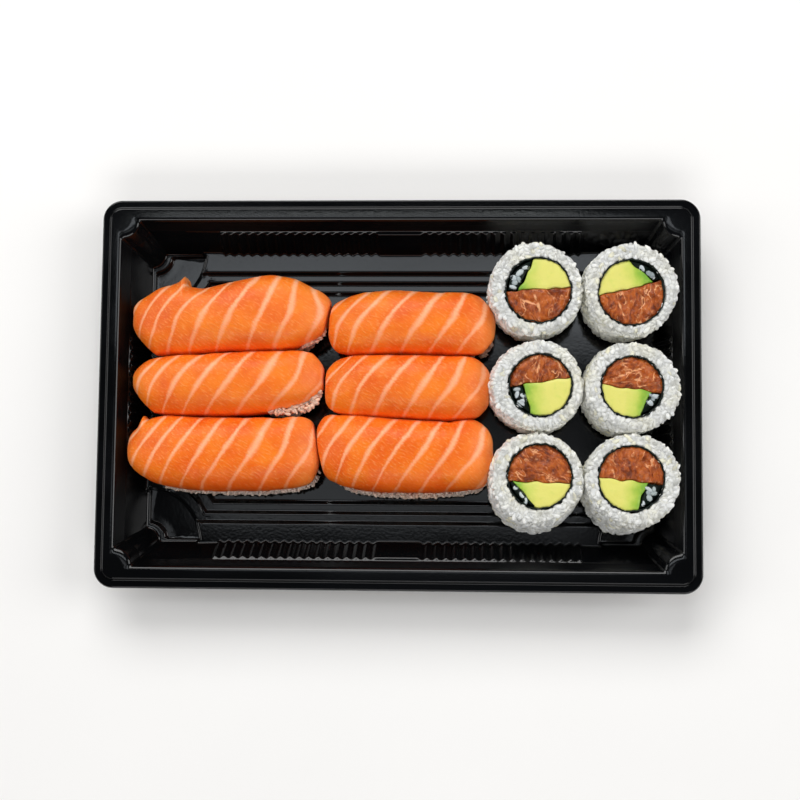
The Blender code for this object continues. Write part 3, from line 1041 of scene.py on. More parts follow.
# ---------------------------------------------------------------- rice
@dataclass
class GrainBed:
    """Grains of one piece, each a bent ellipsoid with a tone of its own."""

    seed: int
    half_length: tuple[float, float] = (1.6, 2.4)
    half_width: tuple[float, float] = (0.85, 1.15)
    bend: float = 0.14
    sides: int = 8
    rings: int = 5
    creamy: float = 0.06
    batch: int = 30
    batches: list[bpy.types.Mesh] = field(default_factory=list)

    def __post_init__(self) -> None:
        """Starts the first batch."""
        self.rng = random.Random(self.seed)
        self.start()

    def start(self) -> None:
        """Starts a new batch of grains."""
        self.count = 0
        self.bm = bmesh.new()
        self.tone = self.bm.verts.layers.float.new("tone")

    def store(self) -> None:
        """Keeps the batch, so that each small mesh stays quick to add to."""
        mesh = bpy.data.meshes.new("grains")
        self.bm.to_mesh(mesh)
        self.bm.free()
        self.batches.append(mesh)
        self.start()

    def add(
        self, point: Vector, normal: Vector, limit: Limit, scale: float = 1.0, tone: float | None = None
    ) -> None:
        """Lays a grain on a surface, turned at random.

        Args:
            point: The grain's middle.
            normal: The surface's direction there.
            limit: Moves a point of the grain back to where it may be.
            scale: Its size against the usual one.
            tone: Where its colour lies between dull, white and cream, if it isn't left to chance.
        """
        rng = self.rng
        side = normal.orthogonal().normalized()
        side.rotate(Matrix.Rotation(rng.uniform(0, math.pi), 3, normal))
        up = (normal + Vector([rng.uniform(-0.25, 0.25) for _ in range(3)])).normalized()
        across = up.cross(side).normalized()
        side = across.cross(up)
        length = rng.uniform(*self.half_length) * scale
        width = rng.uniform(*self.half_width) * scale
        depth = width * rng.uniform(0.82, 1.0)
        chance = 1.0 if rng.random() < self.creamy else rng.uniform(0.0, 0.86)
        tone = chance if tone is None else tone
        made = bmesh.ops.create_uvsphere(self.bm, u_segments=self.sides, v_segments=self.rings, radius=1.0)
        for vert in made["verts"]:
            x, y, z = vert.co.z, vert.co.x, vert.co.y
            z -= self.bend * (x * x - 0.3)
            y *= 1 - 0.12 * x
            place = point + side * (x * length) + across * (y * width) + up * (z * depth)
            vert.co = limit(place)
            vert[self.tone] = tone
        self.count += 1
        if self.count == self.batch:
            self.store()

    def build(self, name: str, material: Material, nodes: Sequence[str]) -> Piece:
        """Makes the piece of all grains.

        Args:
            name: Its name.
            material: The rice's material.
            nodes: The CAD nodes that it stands for.

        Returns:
            The piece.
        """
        self.store()
        for mesh in self.batches:
            self.bm.from_mesh(mesh)
            bpy.data.meshes.remove(mesh)
        return finish_piece(self.bm, name, material, nodes, closed=False)


def shrunken_core(
    node: str, name: str, depth: float, material: Material, top_depth: float | None = None
) -> Piece:
    """The mass under the grains: the CAD solid, a little smaller.

    Args:
        node: The CAD node.
        name: The piece's name.
        depth: How far its surface lies below the solid's.
        material: The piece's material.
        top_depth: The same for its top, where that differs.

    Returns:
        The piece.
    """
    bm = node_copy(node)
    bm.normal_update()
    high = max(vert.co.z for vert in bm.verts)
    moves = [(vert, vert.normal * -depth) for vert in bm.verts]
    for vert, move in moves:
        if top_depth is not None and vert.co.z > high - TOP_ZONE and vert.normal.z > 0.3:
            move.z = -top_depth
        vert.co += move
    return finish_piece(bm, name, material, [node])


# ---------------------------------------------------------------- nigiri
@dataclass
class Nigiri:
    """A slice of salmon over a block of rice.

    North and south are the slice's plan: bends along the unit length, and how far its edge lies there
    from the spine, if its ends were square. The seam is where it is flattened against the other
    nigiri of its row.
    """

    row: int
    side: str
    lines: tuple[float, ...]  # where the lines of fat cross the middle, from the left end
    ends: tuple[float, float]
    spine: float
    north: Bends
    south: Bends
    seam_lean: float = 0.0
    edge: float = 9.5
    flap: tuple[float, float] = (0.0, 0.0)
    rice_out: Bends = ((-1.0, -1.5), (1.0, -1.5))
    north_lean: Bends = ((0.0, 0.9), (0.3, 0.9), (0.55, 0.7), (0.8, 0.4), (1.0, 0.1))
    south_lean: Bends = ((0.0, 0.25), (0.3, 0.5), (0.6, 0.68), (1.0, 0.8))
    power: tuple[float, float] = (2.8, 2.5)
    waist: float = 18.0
    segments: tuple[int, int] = (84, 170)
    inner_segments: tuple[int, int] = (28, 40)
    core_segments: tuple[int, int] = (48, 60)
    grain_step: tuple[float, float] = (2.1, 1.9)  # around and up
    core_depth: float = 0.6
    clear: float = 9.0  # a distance outside the rice, to look at its side from
    frayed: int = 300
    thick: float = 5.2
    thin: float = 2.3
    gap: float = 0.3
    # Painted shade: how much deeper the colour is painted towards the south, turned away from the light.
    deep_red_and_shade: float = 0.4  # how much deeper the colour gets towards the south
    # Painted highlight: how much paler the slice's top is painted.
    top_sheen: float = 0.05  # how much paler it is on top
    heap: float = 0.0  # how high the rice rises beside the slice

    def __post_init__(self) -> None:
        """Takes the place and the sizes from the frame."""
        self.name = f"nigiri_{self.row}_{self.side}"
        self.top = corners(f"{self.name}_salmon")[1].z
        self.floor = corners(f"{self.name}_rice")[0].z
        self.seed = self.row * 3 + (self.side == "right")
        west, east = self.ends
        self.middle = Vector(((west + east) / 2, self.spine, self.waist))
        self.half = Vector(((east - west) / 2, along_list(self.north, 0.0), 0.0))
        left, right = (corners(f"nigiri_{self.row}_{side}_salmon") for side in ("left", "right"))
        self.seam = (left[1].x + right[0].x) / 2

    def reach(self, point: Vector) -> float:
        """Finds the cushion's surface.

        Args:
            point: A point of the unit ball.

        Returns:
            How far the surface lies in that direction.
        """
        plan, height = self.power
        flat = (abs(point.x) ** plan + abs(point.y) ** plan) ** (height / plan)
        return (flat + abs(point.z) ** height) ** (-1 / height)

    def kept(self, x: float, y: float, inset: float) -> float:
        """Keeps a place of the cushion on its own side of the seam.

        Args:
            x: The place along.
            y: The place across.
            inset: How far it has to stay from the seam.

        Returns:
            The place along that it may have.
        """
        seam = self.seam + self.seam_lean * (y - self.spine)
        if self.side == "left":
            return pressed(x, -math.inf, seam - self.gap / 2 - inset)
        return pressed(x, seam + self.gap / 2 + inset, math.inf)

    def plan(self, along: float, across: float) -> float:
        """How far the slice's edge lies from the spine at a place along, on the side that across names."""
        edge = self.north if across > 0 else self.south
        return sum([along_list(edge, along + step) for step in (-0.01, 0.0, 0.01)]) / 3

    def edge_y(self, along: float) -> float:
        """The slice's southern edge at a place along its unit length."""
        share = (1 - min(abs(along), 1.0) ** self.power[0]) ** (1 / self.power[0])
        return self.spine - share * self.plan(along, -1.0)

    def pillow(
        self, segments: tuple[int, int], inset: float, crown: float
    ) -> tuple[BMesh, dict[BMVert, Vector]]:
        """A closed cushion over the nigiri's length.

        Args:
            segments: Around and along.
            inset: How much smaller it is at its sides.
            crown: How much lower it is at its top.

        Returns:
            The mesh, and where each point lies on the unit cushion.
        """
        bm = bmesh.new()
        for key in SalmonFlesh.numbers:
            bm.verts.layers.float.new(key)
        around, along = segments
        lying = Matrix.Rotation(math.pi / 2, 4, "Y")
        bmesh.ops.create_uvsphere(bm, u_segments=around, v_segments=along, radius=1.0, matrix=lying)
        units = {}
        for vert in bm.verts:
            unit = vert.co * self.reach(vert.co)
            units[vert] = unit
            along, across, up = unit
            y = self.spine + across * (self.plan(along, across) - inset)
            x = self.kept(self.middle.x + along * (self.half.x - inset), y, inset)
            if up > 0:
                z = self.waist + up * (self.top + 0.15 - self.waist - crown)
            else:
                z = self.waist + up * (self.waist - self.floor)
            vert.co = (x, y, z)
        return bm, units

    def flake(self, x: float, y: float) -> float:
        """Counts the flakes of the flesh from the left end.

        Args:
            x: The place along.
            y: The place across.

        Returns:
            A number that is whole on each line of fat.
        """
        start = x - self.ends[0]
        across = y - self.spine
        place = start
        for _ in range(3):
            share = place / (2 * self.half.x)
            leans = (along_list(self.south_lean, share), along_list(self.north_lean, share))
            place = start - mix(*leans, smooth(across, -8.0, 8.0)) * across
        bends = [(place, float(n)) for n, place in enumerate(self.lines, start=1)]
        return along_list(bends, place) + 0.05 * wobble(Vector((x, y * 0.5, 0.0)), 12.0, self.seed)

    def build_slice(self, finish: Material) -> Piece:
        """Models the salmon.

        Args:
            finish: Its material.

        Returns:
            The piece.
        """
        bm, units = self.pillow(self.segments, 0.0, 0.0)
        layers = {key: bm.verts.layers.float[key] for key in SalmonFlesh.numbers}
        bm.normal_update()
        moves = []
        for vert, unit in units.items():
            x, y, _ = vert.co
            flake = self.flake(x, y)
            line = math.exp(-(((flake - round(flake)) / 0.08) ** 2))
            move = 0.5 * wobble(vert.co, 14.0, self.seed) + 0.25 * wobble(vert.co, 5.0, self.seed + 0.5)
            move -= 0.10 * line
            # The pale share: paler towards the east end, the underside, the flap, the tips and beside the
            # rice heap, plus a painted highlight on top.
            pale = 0.3 * smooth(unit.x, 0.6, 1.0) + 0.3 * smooth(-unit.z, 0.3, 0.7)
            # Painted highlight: the top is painted paler, as if lit from above.
            pale += self.top_sheen * smooth(unit.z, 0.4, 1.0)
            where, width = self.flap
            if width:
                near = math.exp(-(((unit.x - where) / width) ** 2)) * smooth(unit.y, 0.6, 1.0)
                pale += 0.6 * near
            pale += 0.35 * max(smooth(unit.y, 0.9, 1.0), smooth(abs(unit.x), 0.93, 1.0))
            if self.heap:
                near = smooth(along_list(self.rice_out, unit.x), 0.0, 2.5) * smooth(-unit.y, 0.7, 0.98)
                move += near * 0.8 * wobble(vert.co, 1.8, self.seed)
                pale += 0.7 * near
            moves.append((vert, vert.normal * move))
            vert[layers["flake"]] = flake
            vert[layers["run"]] = y + 0.6 * x
            # Painted sheen: the fat lines are drawn stronger towards the north, where the light falls, and
            # fainter to the south.
            vert[layers["fat_and_sheen"]] = mix(0.45, 1.0, smooth(unit.y, -0.9, 0.2)) * smooth(unit.z, -0.4, 0.2)
            vert[layers["pale"]] = min(pale, 1.0)
            # Painted shade deepens the colour towards the south, away from the light; the north edge is
            # deeper red too.
            vert[layers["deep_red_and_shade"]] = self.deep_red_and_shade * smooth(-unit.y, 0.55, 1.0) + 0.4 * smooth(unit.y, 0.8, 1.0)
        for vert, move in moves:
            vert.co += move
        self.trim(bm)
        inner, _ = self.pillow(self.inner_segments, self.thin, self.thick)
        self.trim(inner)
        bmesh.ops.reverse_faces(inner, faces=inner.faces)
        spare = bpy.data.meshes.new("inner")
        inner.to_mesh(spare)
        inner.free()
        bm.from_mesh(spare)
        bpy.data.meshes.remove(spare)
        bmesh.ops.bridge_loops(bm, edges=border(bm))
        return finish_piece(bm, f"{self.name}_slice", finish, [f"{self.name}_salmon"])

    def trim(self, bm: BMesh) -> None:
        """Cuts a cushion off along the slice's uneven lower edge.

        Args:
            bm: The cushion.
        """
        parts = [*bm.verts, *bm.edges, *bm.faces]
        low, down = (0.0, 0.0, self.edge), (0.0, 0.0, -1.0)
        bmesh.ops.bisect_plane(bm, geom=parts, plane_co=low, plane_no=down, clear_outer=True)
        for vert in bm.verts:
            if vert.is_boundary:
                vert.co.z += 0.7 * wobble(vert.co, 6.0, self.seed + 2)

    def build_rice(self, core: Material, grain: Material) -> None:
        """Models the rice: a core that spreads to the south below the slice, and the grains round it.

        Args:
            core: The material of the mass.
            grain: The material of the grains.
        """
        node = f"{self.name}_rice"
        inset = self.thin + self.gap + self.core_depth
        bm, units = self.pillow(self.core_segments, inset, self.thick + self.gap)
        for vert, unit in units.items():
            along = (vert.co.x - self.middle.x) / self.half.x
            spread = smooth(self.edge + 0.5 + self.heap - vert.co.z, 0.0, 1.5) * smooth(-unit.y, 0.0, 0.5)
            out = along_list(self.rice_out, along) + 0.7 * wobble(vert.co, 4.0, self.seed + 4)
            vert.co.y = mix(vert.co.y, self.edge_y(along) - out + 0.8, spread)
        bm.normal_update()
        tree = BVHTree.FromBMesh(bm)
        finish_piece(bm, f"{self.name}_rice_core", core, [node])
        bed = GrainBed(seed=40 + self.seed, creamy=0.0)
        inner = max(self.half.x - self.half.y, 1.0)
        step, rise = self.grain_step
        around = int(math.pi * (self.half.x + self.half.y) / step)
        z = self.floor + 1.0
        while z < self.edge + 0.2:
            for n in range(around):
                turn = 2 * math.pi * (n + bed.rng.uniform(-0.35, 0.35)) / around
                far = (self.half.x + self.clear, self.half.y + self.clear)
                away = Vector((far[0] * math.cos(turn), far[1] * math.sin(turn), 0.0))
                axis = Vector((min(max(away.x, -inner), inner), 0.0, 0.0))
                level = Vector((self.middle.x, self.middle.y, z + bed.rng.uniform(-0.6, 0.6)))
                hit, normal, _, _ = tree.ray_cast(level + away, (axis - away).normalized())
                if hit:
                    bed.add(hit + normal * 0.15, normal, self.above_floor)
            z += rise
        self.fray(bed)
        bed.build(f"{self.name}_rice_grains", grain, [node])

    def fray(self, bed: GrainBed) -> None:
        """Adds fine grains on the ledge of rice beside the slice's southern edge.

        Args:
            bed: The nigiri's grains.
        """
        for _ in range(self.frayed):
            along = bed.rng.uniform(-0.95, 0.97)
            out = along_list(self.rice_out, along)
            if out > 0.3:
                x = self.middle.x + along * self.half.x
                y = self.edge_y(along) - out + bed.rng.uniform(0.2, 0.6 + out)
                z = self.edge + bed.rng.uniform(-1.0, 1.2) + self.heap
                point = Vector((self.kept(x, y, 0.6), y, z))
                tone = bed.rng.uniform(0.9, 1.0) if self.heap else None
                bed.add(point, Vector((0.0, -0.5, 0.8)).normalized(), self.above_floor, 0.62, tone)

    def above_floor(self, point: Vector) -> Vector:
        """Keeps a point of a grain above the tray."""
        return Vector((point.x, point.y, max(point.z, self.floor - 0.1)))


# ---------------------------------------------------------------- rolls
@dataclass
class Roll:
    """An inside-out roll that stands on end: rice, nori and three fillings."""

    row: int
    side: str
    grain_step: tuple[float, float] = (2.9, 2.0)
    top_step: tuple[float, float] = (2.1, 1.3)
    radius: float = 18.0
    margin: float = 0.9  # from the ends of the side to its first and last round of grains
    core_depth: tuple[float, float] = (0.45, 0.08)  # of the mass, below the side and below the cut face
    sunk: float = 0.72  # how deep a grain's middle lies in the side
    beyond: float = 40.0  # a distance outside the roll, to look at its side from
    nori_columns: int = 120
    nori_thick: float = 0.45
    fiber: tuple[float, float] = (20.0, 2.6)  # direction and spacing of the salmon's lines
    splits: tuple[Bends, ...] = ()  # where it parts, from the middle of the cut face
    cell: float = 0.7
    rib_room: float = 1.8  # what the tray's ribs take up

    def __post_init__(self) -> None:
        """Takes the place and the sizes from the frame."""
        self.name = f"roll_{self.row}_{self.side}"
        self.low, self.high = corners(f"{self.name}_rice")
        self.seed = 70 + self.row * 2 + (self.side == "outer")
        self.rng = random.Random(self.seed)
        rings = self.rings(f"{self.name}_nori")
        (self.foot, self.foot_radius), (self.top, self.top_radius) = rings
        self.tree = node_tree(f"{self.name}_rice")
        self.tray = node_tree("tray")

    def rings(self, node: str) -> list[tuple[Vector, float]]:
        """Measures both ends of a tube.

        Args:
            node: The tube's CAD node.

        Returns:
            The middle and the outer radius of its lower and its upper end.
        """
        points = [vert.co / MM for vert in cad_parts[node].data.vertices]
        low, high = corners(node)
        level = (low.z + high.z) / 2
        found = []
        for upper in (False, True):
            ring = [point for point in points if (point.z > level) == upper]
            xs, ys, zs = zip(*ring)
            middle = Vector(((min(xs) + max(xs)) / 2, (min(ys) + max(ys)) / 2, (min(zs) + max(zs)) / 2))
            found.append((middle, (max(ys) - min(ys)) / 2))
        return found

    def axis(self, z: float) -> tuple[Vector, float]:
        """The middle and the nori's radius at a height."""
        share = (z - self.foot.z) / (self.top.z - self.foot.z)
        return self.foot.lerp(self.top, share), mix(self.foot_radius, self.top_radius, share)

    def keep_off(self, point: Vector) -> Vector:
        """Keeps a grain off the nori, below the cut face and within the tray.

        Args:
            point: A point of the grain.

        Returns:
            Where it may be.
        """
        middle, radius = self.axis(point.z)
        away = Vector((point.x - middle.x, point.y - middle.y, 0.0))
        least = radius - 0.25 + 0.35 * wobble(point, 1.5, self.seed + 2)
        _, _, _, most = self.tray.ray_cast(Vector((middle.x, middle.y, max(point.z, 4.0))), away.normalized())
        reach = min(away.length, most - self.rib_room) if most else away.length
        away = away.normalized() * max(reach, least)
        x, y = middle.x + away.x, middle.y + away.y
        top = self.plane_z(x, y) + 0.12 + 0.12 * wobble(point, 2.5, self.seed)
        return Vector((x, y, min(max(point.z, self.low.z), top)))

    def plane_z(self, x: float, y: float) -> float:
        """The height of the plane of the cut, which leans with the roll."""
        lean = (self.top - self.foot) / (self.top.z - self.foot.z)
        return self.top.z - 0.4 * (lean.x * (x - self.top.x) + lean.y * (y - self.top.y))

    def build_rice(self, core: Material, grain: Material) -> None:
        """Models the ring of rice.

        Args:
            core: The material of the mass.
            grain: The material of the grains.
        """
        node = f"{self.name}_rice"
        side_depth, top_depth = self.core_depth
        shrunken_core(node, f"{self.name}_rice_core", side_depth, core, top_depth)
        bed = GrainBed(seed=self.seed)
        step, rise = self.grain_step
        z = self.low.z + self.margin
        while z < self.high.z - self.margin:
            around = int(2 * math.pi * self.radius / step)
            start = bed.rng.uniform(0, 1)
            for n in range(around):
                turn = 2 * math.pi * (n + start + bed.rng.uniform(-0.3, 0.3)) / around
                away = Vector((math.cos(turn), math.sin(turn), 0.0))
                height = z + bed.rng.uniform(-0.7, 0.7)
                middle, _ = self.axis(height)
                outside = Vector((middle.x, middle.y, height)) + away * self.beyond
                hit, normal, _, _ = self.tree.ray_cast(outside, -away)
                if hit and (hit - outside).length < self.beyond - 1.0 - self.top_radius:
                    bed.add(hit - normal * self.sunk, normal, self.keep_off)
            z += rise
        step, apart = self.top_step
        radius = self.top_radius + 1.0
        while radius < self.radius:
            around = int(2 * math.pi * radius / step)
            for n in range(around):
                turn = 2 * math.pi * (n + bed.rng.uniform(-0.35, 0.35)) / around
                reach = radius + bed.rng.uniform(-0.5, 0.5)
                x, y = self.top.x + reach * math.cos(turn), self.top.y + reach * math.sin(turn)
                hit, normal = seen_from_above(self.tree, x, y)
                if hit and hit.z > self.high.z - TOP_ZONE:
                    bed.add(hit - normal * bed.rng.uniform(0.45, 0.8), normal, self.keep_off)
            radius += apart
        bed.build(f"{self.name}_rice_grains", grain, [node])

    def build_nori(self, finish: Material) -> Piece:
        """Models the sheet of nori, which runs round in small waves.

        Args:
            finish: Its material.

        Returns:
            The piece.
        """
        bm = bmesh.new()
        columns, rows = self.nori_columns, 8
        levels = [n / (rows - 1) for n in range(rows)]
        profile = [(0.0, level) for level in levels] + [(-self.nori_thick, 1 - level) for level in levels]
        profile.append(profile[0])

        def place(column: int, row: int) -> Vector:
            """Finds a point of the sheet.

            Args:
                column: The point's place around the sheet.
                row: Its place along the profile.

            Returns:
                The point.
            """
            turn = 2 * math.pi * column / columns
            inset, level = profile[row]
            middle, radius = self.axis(mix(self.foot.z, self.top.z, level))
            away = Vector((math.cos(turn), math.sin(turn), 0.0))
            wave = 0.35 * wobble(away * 12, 2.6, self.seed) + 0.4 * wobble(away * 12, 1.0, self.seed)
            thick = inset * (1 + 0.45 * wobble(away * 12, 1.7, self.seed + 5))
            point = Vector((middle.x, middle.y, 0.0)) + away * (radius + wave + thick)
            lift = (0.3 + 0.35 * wobble(away * 12, 1.3, self.seed + 9)) * level
            z = mix(self.foot.z, self.plane_z(point.x, point.y) + 0.05 + lift, level)
            return Vector((point.x, point.y, z))

        warped_grid(bm, columns + 1, len(profile), place)
        bmesh.ops.remove_doubles(bm, verts=bm.verts, dist=0.001)
        return finish_piece(bm, f"{self.name}_nori_sheet", finish, [f"{self.name}_nori"])

    def top_polygon(self, node: str) -> BMesh:
        """Takes the cut face of a filling alone.

        Args:
            node: The filling's CAD node.

        Returns:
            A mesh of that one face.
        """
        bm = node_copy(node)
        bmesh.ops.delete(bm, geom=[face for face in bm.faces if face.normal.z < 0.7], context="FACES")
        bmesh.ops.dissolve_faces(bm, faces=bm.faces)
        return bm

    def swayed(self, point: Vector) -> Vector:
        """Moves a place of the fillings, so that the line where they meet runs unevenly.

        Args:
            point: The place.

        Returns:
            Where it moves to.
        """
        middle, radius = self.axis(point.z)
        away = Vector((point.x - middle.x, point.y - middle.y, 0.0))
        free = smooth(radius - away.length, 0.3, 3.5)
        sway = Vector((wobble(point, 4.0, self.seed + 11), wobble(point, 4.0, self.seed + 12), 0.0))
        grown = 0.65 + 0.4 * wobble(point, 1.6, self.seed + 13)
        return point + sway * (0.9 * free) + away.normalized() * (grown * (1 - free))

    def fine_top(self, bm: BMesh) -> None:
        """Cuts a face into a fine net.

        Args:
            bm: The mesh that holds only the face.
        """
        xs = [vert.co.x for vert in bm.verts]
        ys = [vert.co.y for vert in bm.verts]
        for axis, (low, high) in enumerate(((min(xs), max(xs)), (min(ys), max(ys)))):
            count = int((high - low) / self.cell)
            for n in range(1, count):
                normal = Vector([float(axis == k) for k in range(3)])
                place = normal * mix(low, high, n / count)
                parts = [*bm.verts, *bm.edges, *bm.faces]
                bmesh.ops.bisect_plane(bm, geom=parts, plane_co=place, plane_no=normal)

    def build_filling(
        self, kind: str, material: Material, height: Callable[[Vector, float], float],
        layers: dict[str, Callable[[Vector], float]],
    ) -> Piece:
        """Models a filling: a cut face in relief, and its plain run through the roll.

        Args:
            kind: The last word of the CAD node's name.
            material: Its material.
            height: The relief at a place, from the place and its distance to the border.
            layers: The numbers that the material reads at a place.

        Returns:
            The piece.
        """
        node = f"{self.name}_{kind}"
        bm = self.top_polygon(node)
        self.fine_top(bm)
        outline = border_lines(bm)
        for vert in bm.verts:
            near = min(distance_to(vert.co, a, b) for a, b in outline)
            lift = height(vert.co, near)
            vert.co = self.swayed(vert.co)
            vert.co.z += lift
        made = bmesh.ops.extrude_edge_only(bm, edges=border(bm))
        low = corners(node)[0].z
        for vert in (part for part in made["geom"] if isinstance(part, BMVert)):
            middle_top, radius_top = self.axis(vert.co.z)
            middle_low, radius_low = self.axis(low)
            away = (vert.co - middle_top) * (radius_low / radius_top)
            vert.co = Vector((middle_low.x + away.x, middle_low.y + away.y, low))
        bmesh.ops.holes_fill(bm, edges=border(bm))
        made_layers = {key: bm.verts.layers.float.new(key) for key in layers}
        for key, layer in made_layers.items():
            for vert in bm.verts:
                vert[layer] = layers[key](vert.co)
        return finish_piece(bm, f"{self.name}_{kind}_piece", material, [node])

    def build_fillings(self, finishes: "Finishes") -> None:
        """Models the salmon, the avocado and the inner rice.

        Args:
            finishes: The materials.
        """
        turn, spacing = math.radians(self.fiber[0]), self.fiber[1]
        way = Vector((math.cos(turn), math.sin(turn), 0.0))
        parts = [[Vector((self.top.x + x, self.top.y + y, 0.0)) for x, y in line] for line in self.splits]
        runs_of = [pair for line in parts for pair in zip(line, line[1:])]

        def parting(place: Vector) -> float:
            """The distance to where the salmon parts."""
            return min((distance_to(place, a, b) for a, b in runs_of), default=9.0)

        def lumps(place: Vector, near: float) -> float:
            """Works out the salmon's relief.

            Args:
                place: A point of the filling.
                near: Its distance from the border.

            Returns:
                How far the surface stands up there.
            """
            rough = 0.9 * wobble(place, 5.0, self.seed) + 0.45 * wobble(place, 1.9, self.seed)
            rough -= 0.5 * (1 - smooth(near, 0.0, 1.3)) + 0.2
            return rough - 0.4 * (1 - smooth(parting(place), 0.2, 1.0))

        def fibers(place: Vector) -> float:
            """The count of fibres across the salmon."""
            flat = Vector((place.x, place.y, 0.0))
            return way.dot(flat) / spacing + 0.5 * wobble(flat, 6.0, self.seed)

        def runs(place: Vector) -> float:
            """The place along the fibres."""
            return way.cross(Vector((place.x, place.y, 0.0))).z

        def soft(place: Vector, near: float) -> float:
            """The avocado's relief at a distance from its border."""
            return 0.25 * wobble(place, 6.0, self.seed + 3) - 0.25 * (1 - smooth(near, 0.0, 0.7)) - 0.1

        layers = {"fiber": fibers, "along": runs, "split": parting}
        self.build_filling("salmon", finishes.chopped, lumps, layers)
        rice_low, rice_high = corners(f"{self.name}_inner_rice")
        own_low, own_high = corners(f"{self.name}_avocado")
        skin = (rice_low + rice_high) / 2
        toward = (own_low + own_high) / 2 - skin
        toward.z = 0.0
        toward.normalize()
        start = min(toward.dot(vert.co / MM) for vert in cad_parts[f"{self.name}_avocado"].data.vertices)

        def depth(place: Vector) -> float:
            """How far a place of the avocado lies from its skin."""
            return toward.dot(Vector((place.x, place.y, 0.0))) - start

        self.build_filling("avocado", finishes.avocado, soft, {"depth": depth})
        self.build_inner_rice(finishes)

    def build_inner_rice(self, finishes: "Finishes") -> None:
        """Models the few grains beside the avocado, on a dark fold of nori.

        Args:
            finishes: The materials.
        """
        node = f"{self.name}_inner_rice"
        shrunken_core(node, f"{self.name}_inner_bed", 0.4, finishes.seaweed)
        tree = node_tree(node)
        low, high = corners(node)
        bed = GrainBed(seed=self.seed + 20, half_length=(1.2, 2.0), half_width=(0.8, 1.2), creamy=0.0)
        step = 1.9
        face = self.top_polygon(node)
        outline = border_lines(face)
        face.free()

        def inset(point: Vector) -> float:
            """Measures how far a point lies inside the rice's border.

            Args:
                point: The point.

            Returns:
                Its distance from the border, or nought outside it.
            """
            if not seen_from_above(tree, point.x, point.y)[0]:
                return 0.0
            return min(distance_to(point, a, b) for a, b in outline)

        def sunk(point: Vector) -> Vector:
            """Keeps a point of a grain below the cut face, and well below it outside the border."""
            top = self.plane_z(point.x, point.y) + mix(-1.6, 0.15, smooth(inset(point), 0.0, 0.5))
            return Vector((point.x, point.y, min(point.z, top)))

        for i in range(int((high.x - low.x) / step) + 1):
            for j in range(int((high.y - low.y) / step) + 1):
                x = low.x + step * (i + 0.5) + bed.rng.uniform(-0.5, 0.5)
                y = low.y + step * (j + 0.5) + bed.rng.uniform(-0.5, 0.5)
                hit, normal = seen_from_above(tree, x, y)
                if hit and hit.z > high.z - 3 and inset(hit) > 0.7:
                    bed.add(hit - normal * 0.5, normal, sunk)
        bed.build(f"{self.name}_inner_grains", finishes.inner_grain, [node])


class Rice(Enum):
    """The kinds of rice, each with its own white."""

    GRAIN = CookedRice()
    INNER = CookedRice("inner_rice", (0.26, 0.31, 0.32), (0.56, 0.61, 0.62), (0.56, 0.62, 0.56))
    # Painted shade: the nigiri's rice is a darker, pinker white than the rolls', for the shade under the
    # slice.
    BLOCK_SHADED = CookedRice("block_rice_shaded", (0.50, 0.36, 0.29), (0.74, 0.57, 0.47), (1.0, 0.58, 0.40))
    # Painted shade: the mass below the grains is a little darker than they are, so the gaps between grains
    # read as shaded crevices.
    MASS_SHADED = CookedRice("rice_mass_shaded", (0.74, 0.735, 0.68), (0.84, 0.835, 0.78))


class Finishes:
    """All materials of the food, made once."""

    def __init__(self) -> None:
        """Makes them."""
        self.flesh = SalmonFlesh().material()
        self.grain = Rice.GRAIN.value.material()
        self.inner_grain = Rice.INNER.value.material()
        self.block_grain_shaded = Rice.BLOCK_SHADED.value.material()
        self.core = Rice.MASS_SHADED.value.material()
        self.seaweed = Seaweed().material()
        self.chopped = ChoppedSalmon().material()
        self.avocado = AvocadoFlesh().material()


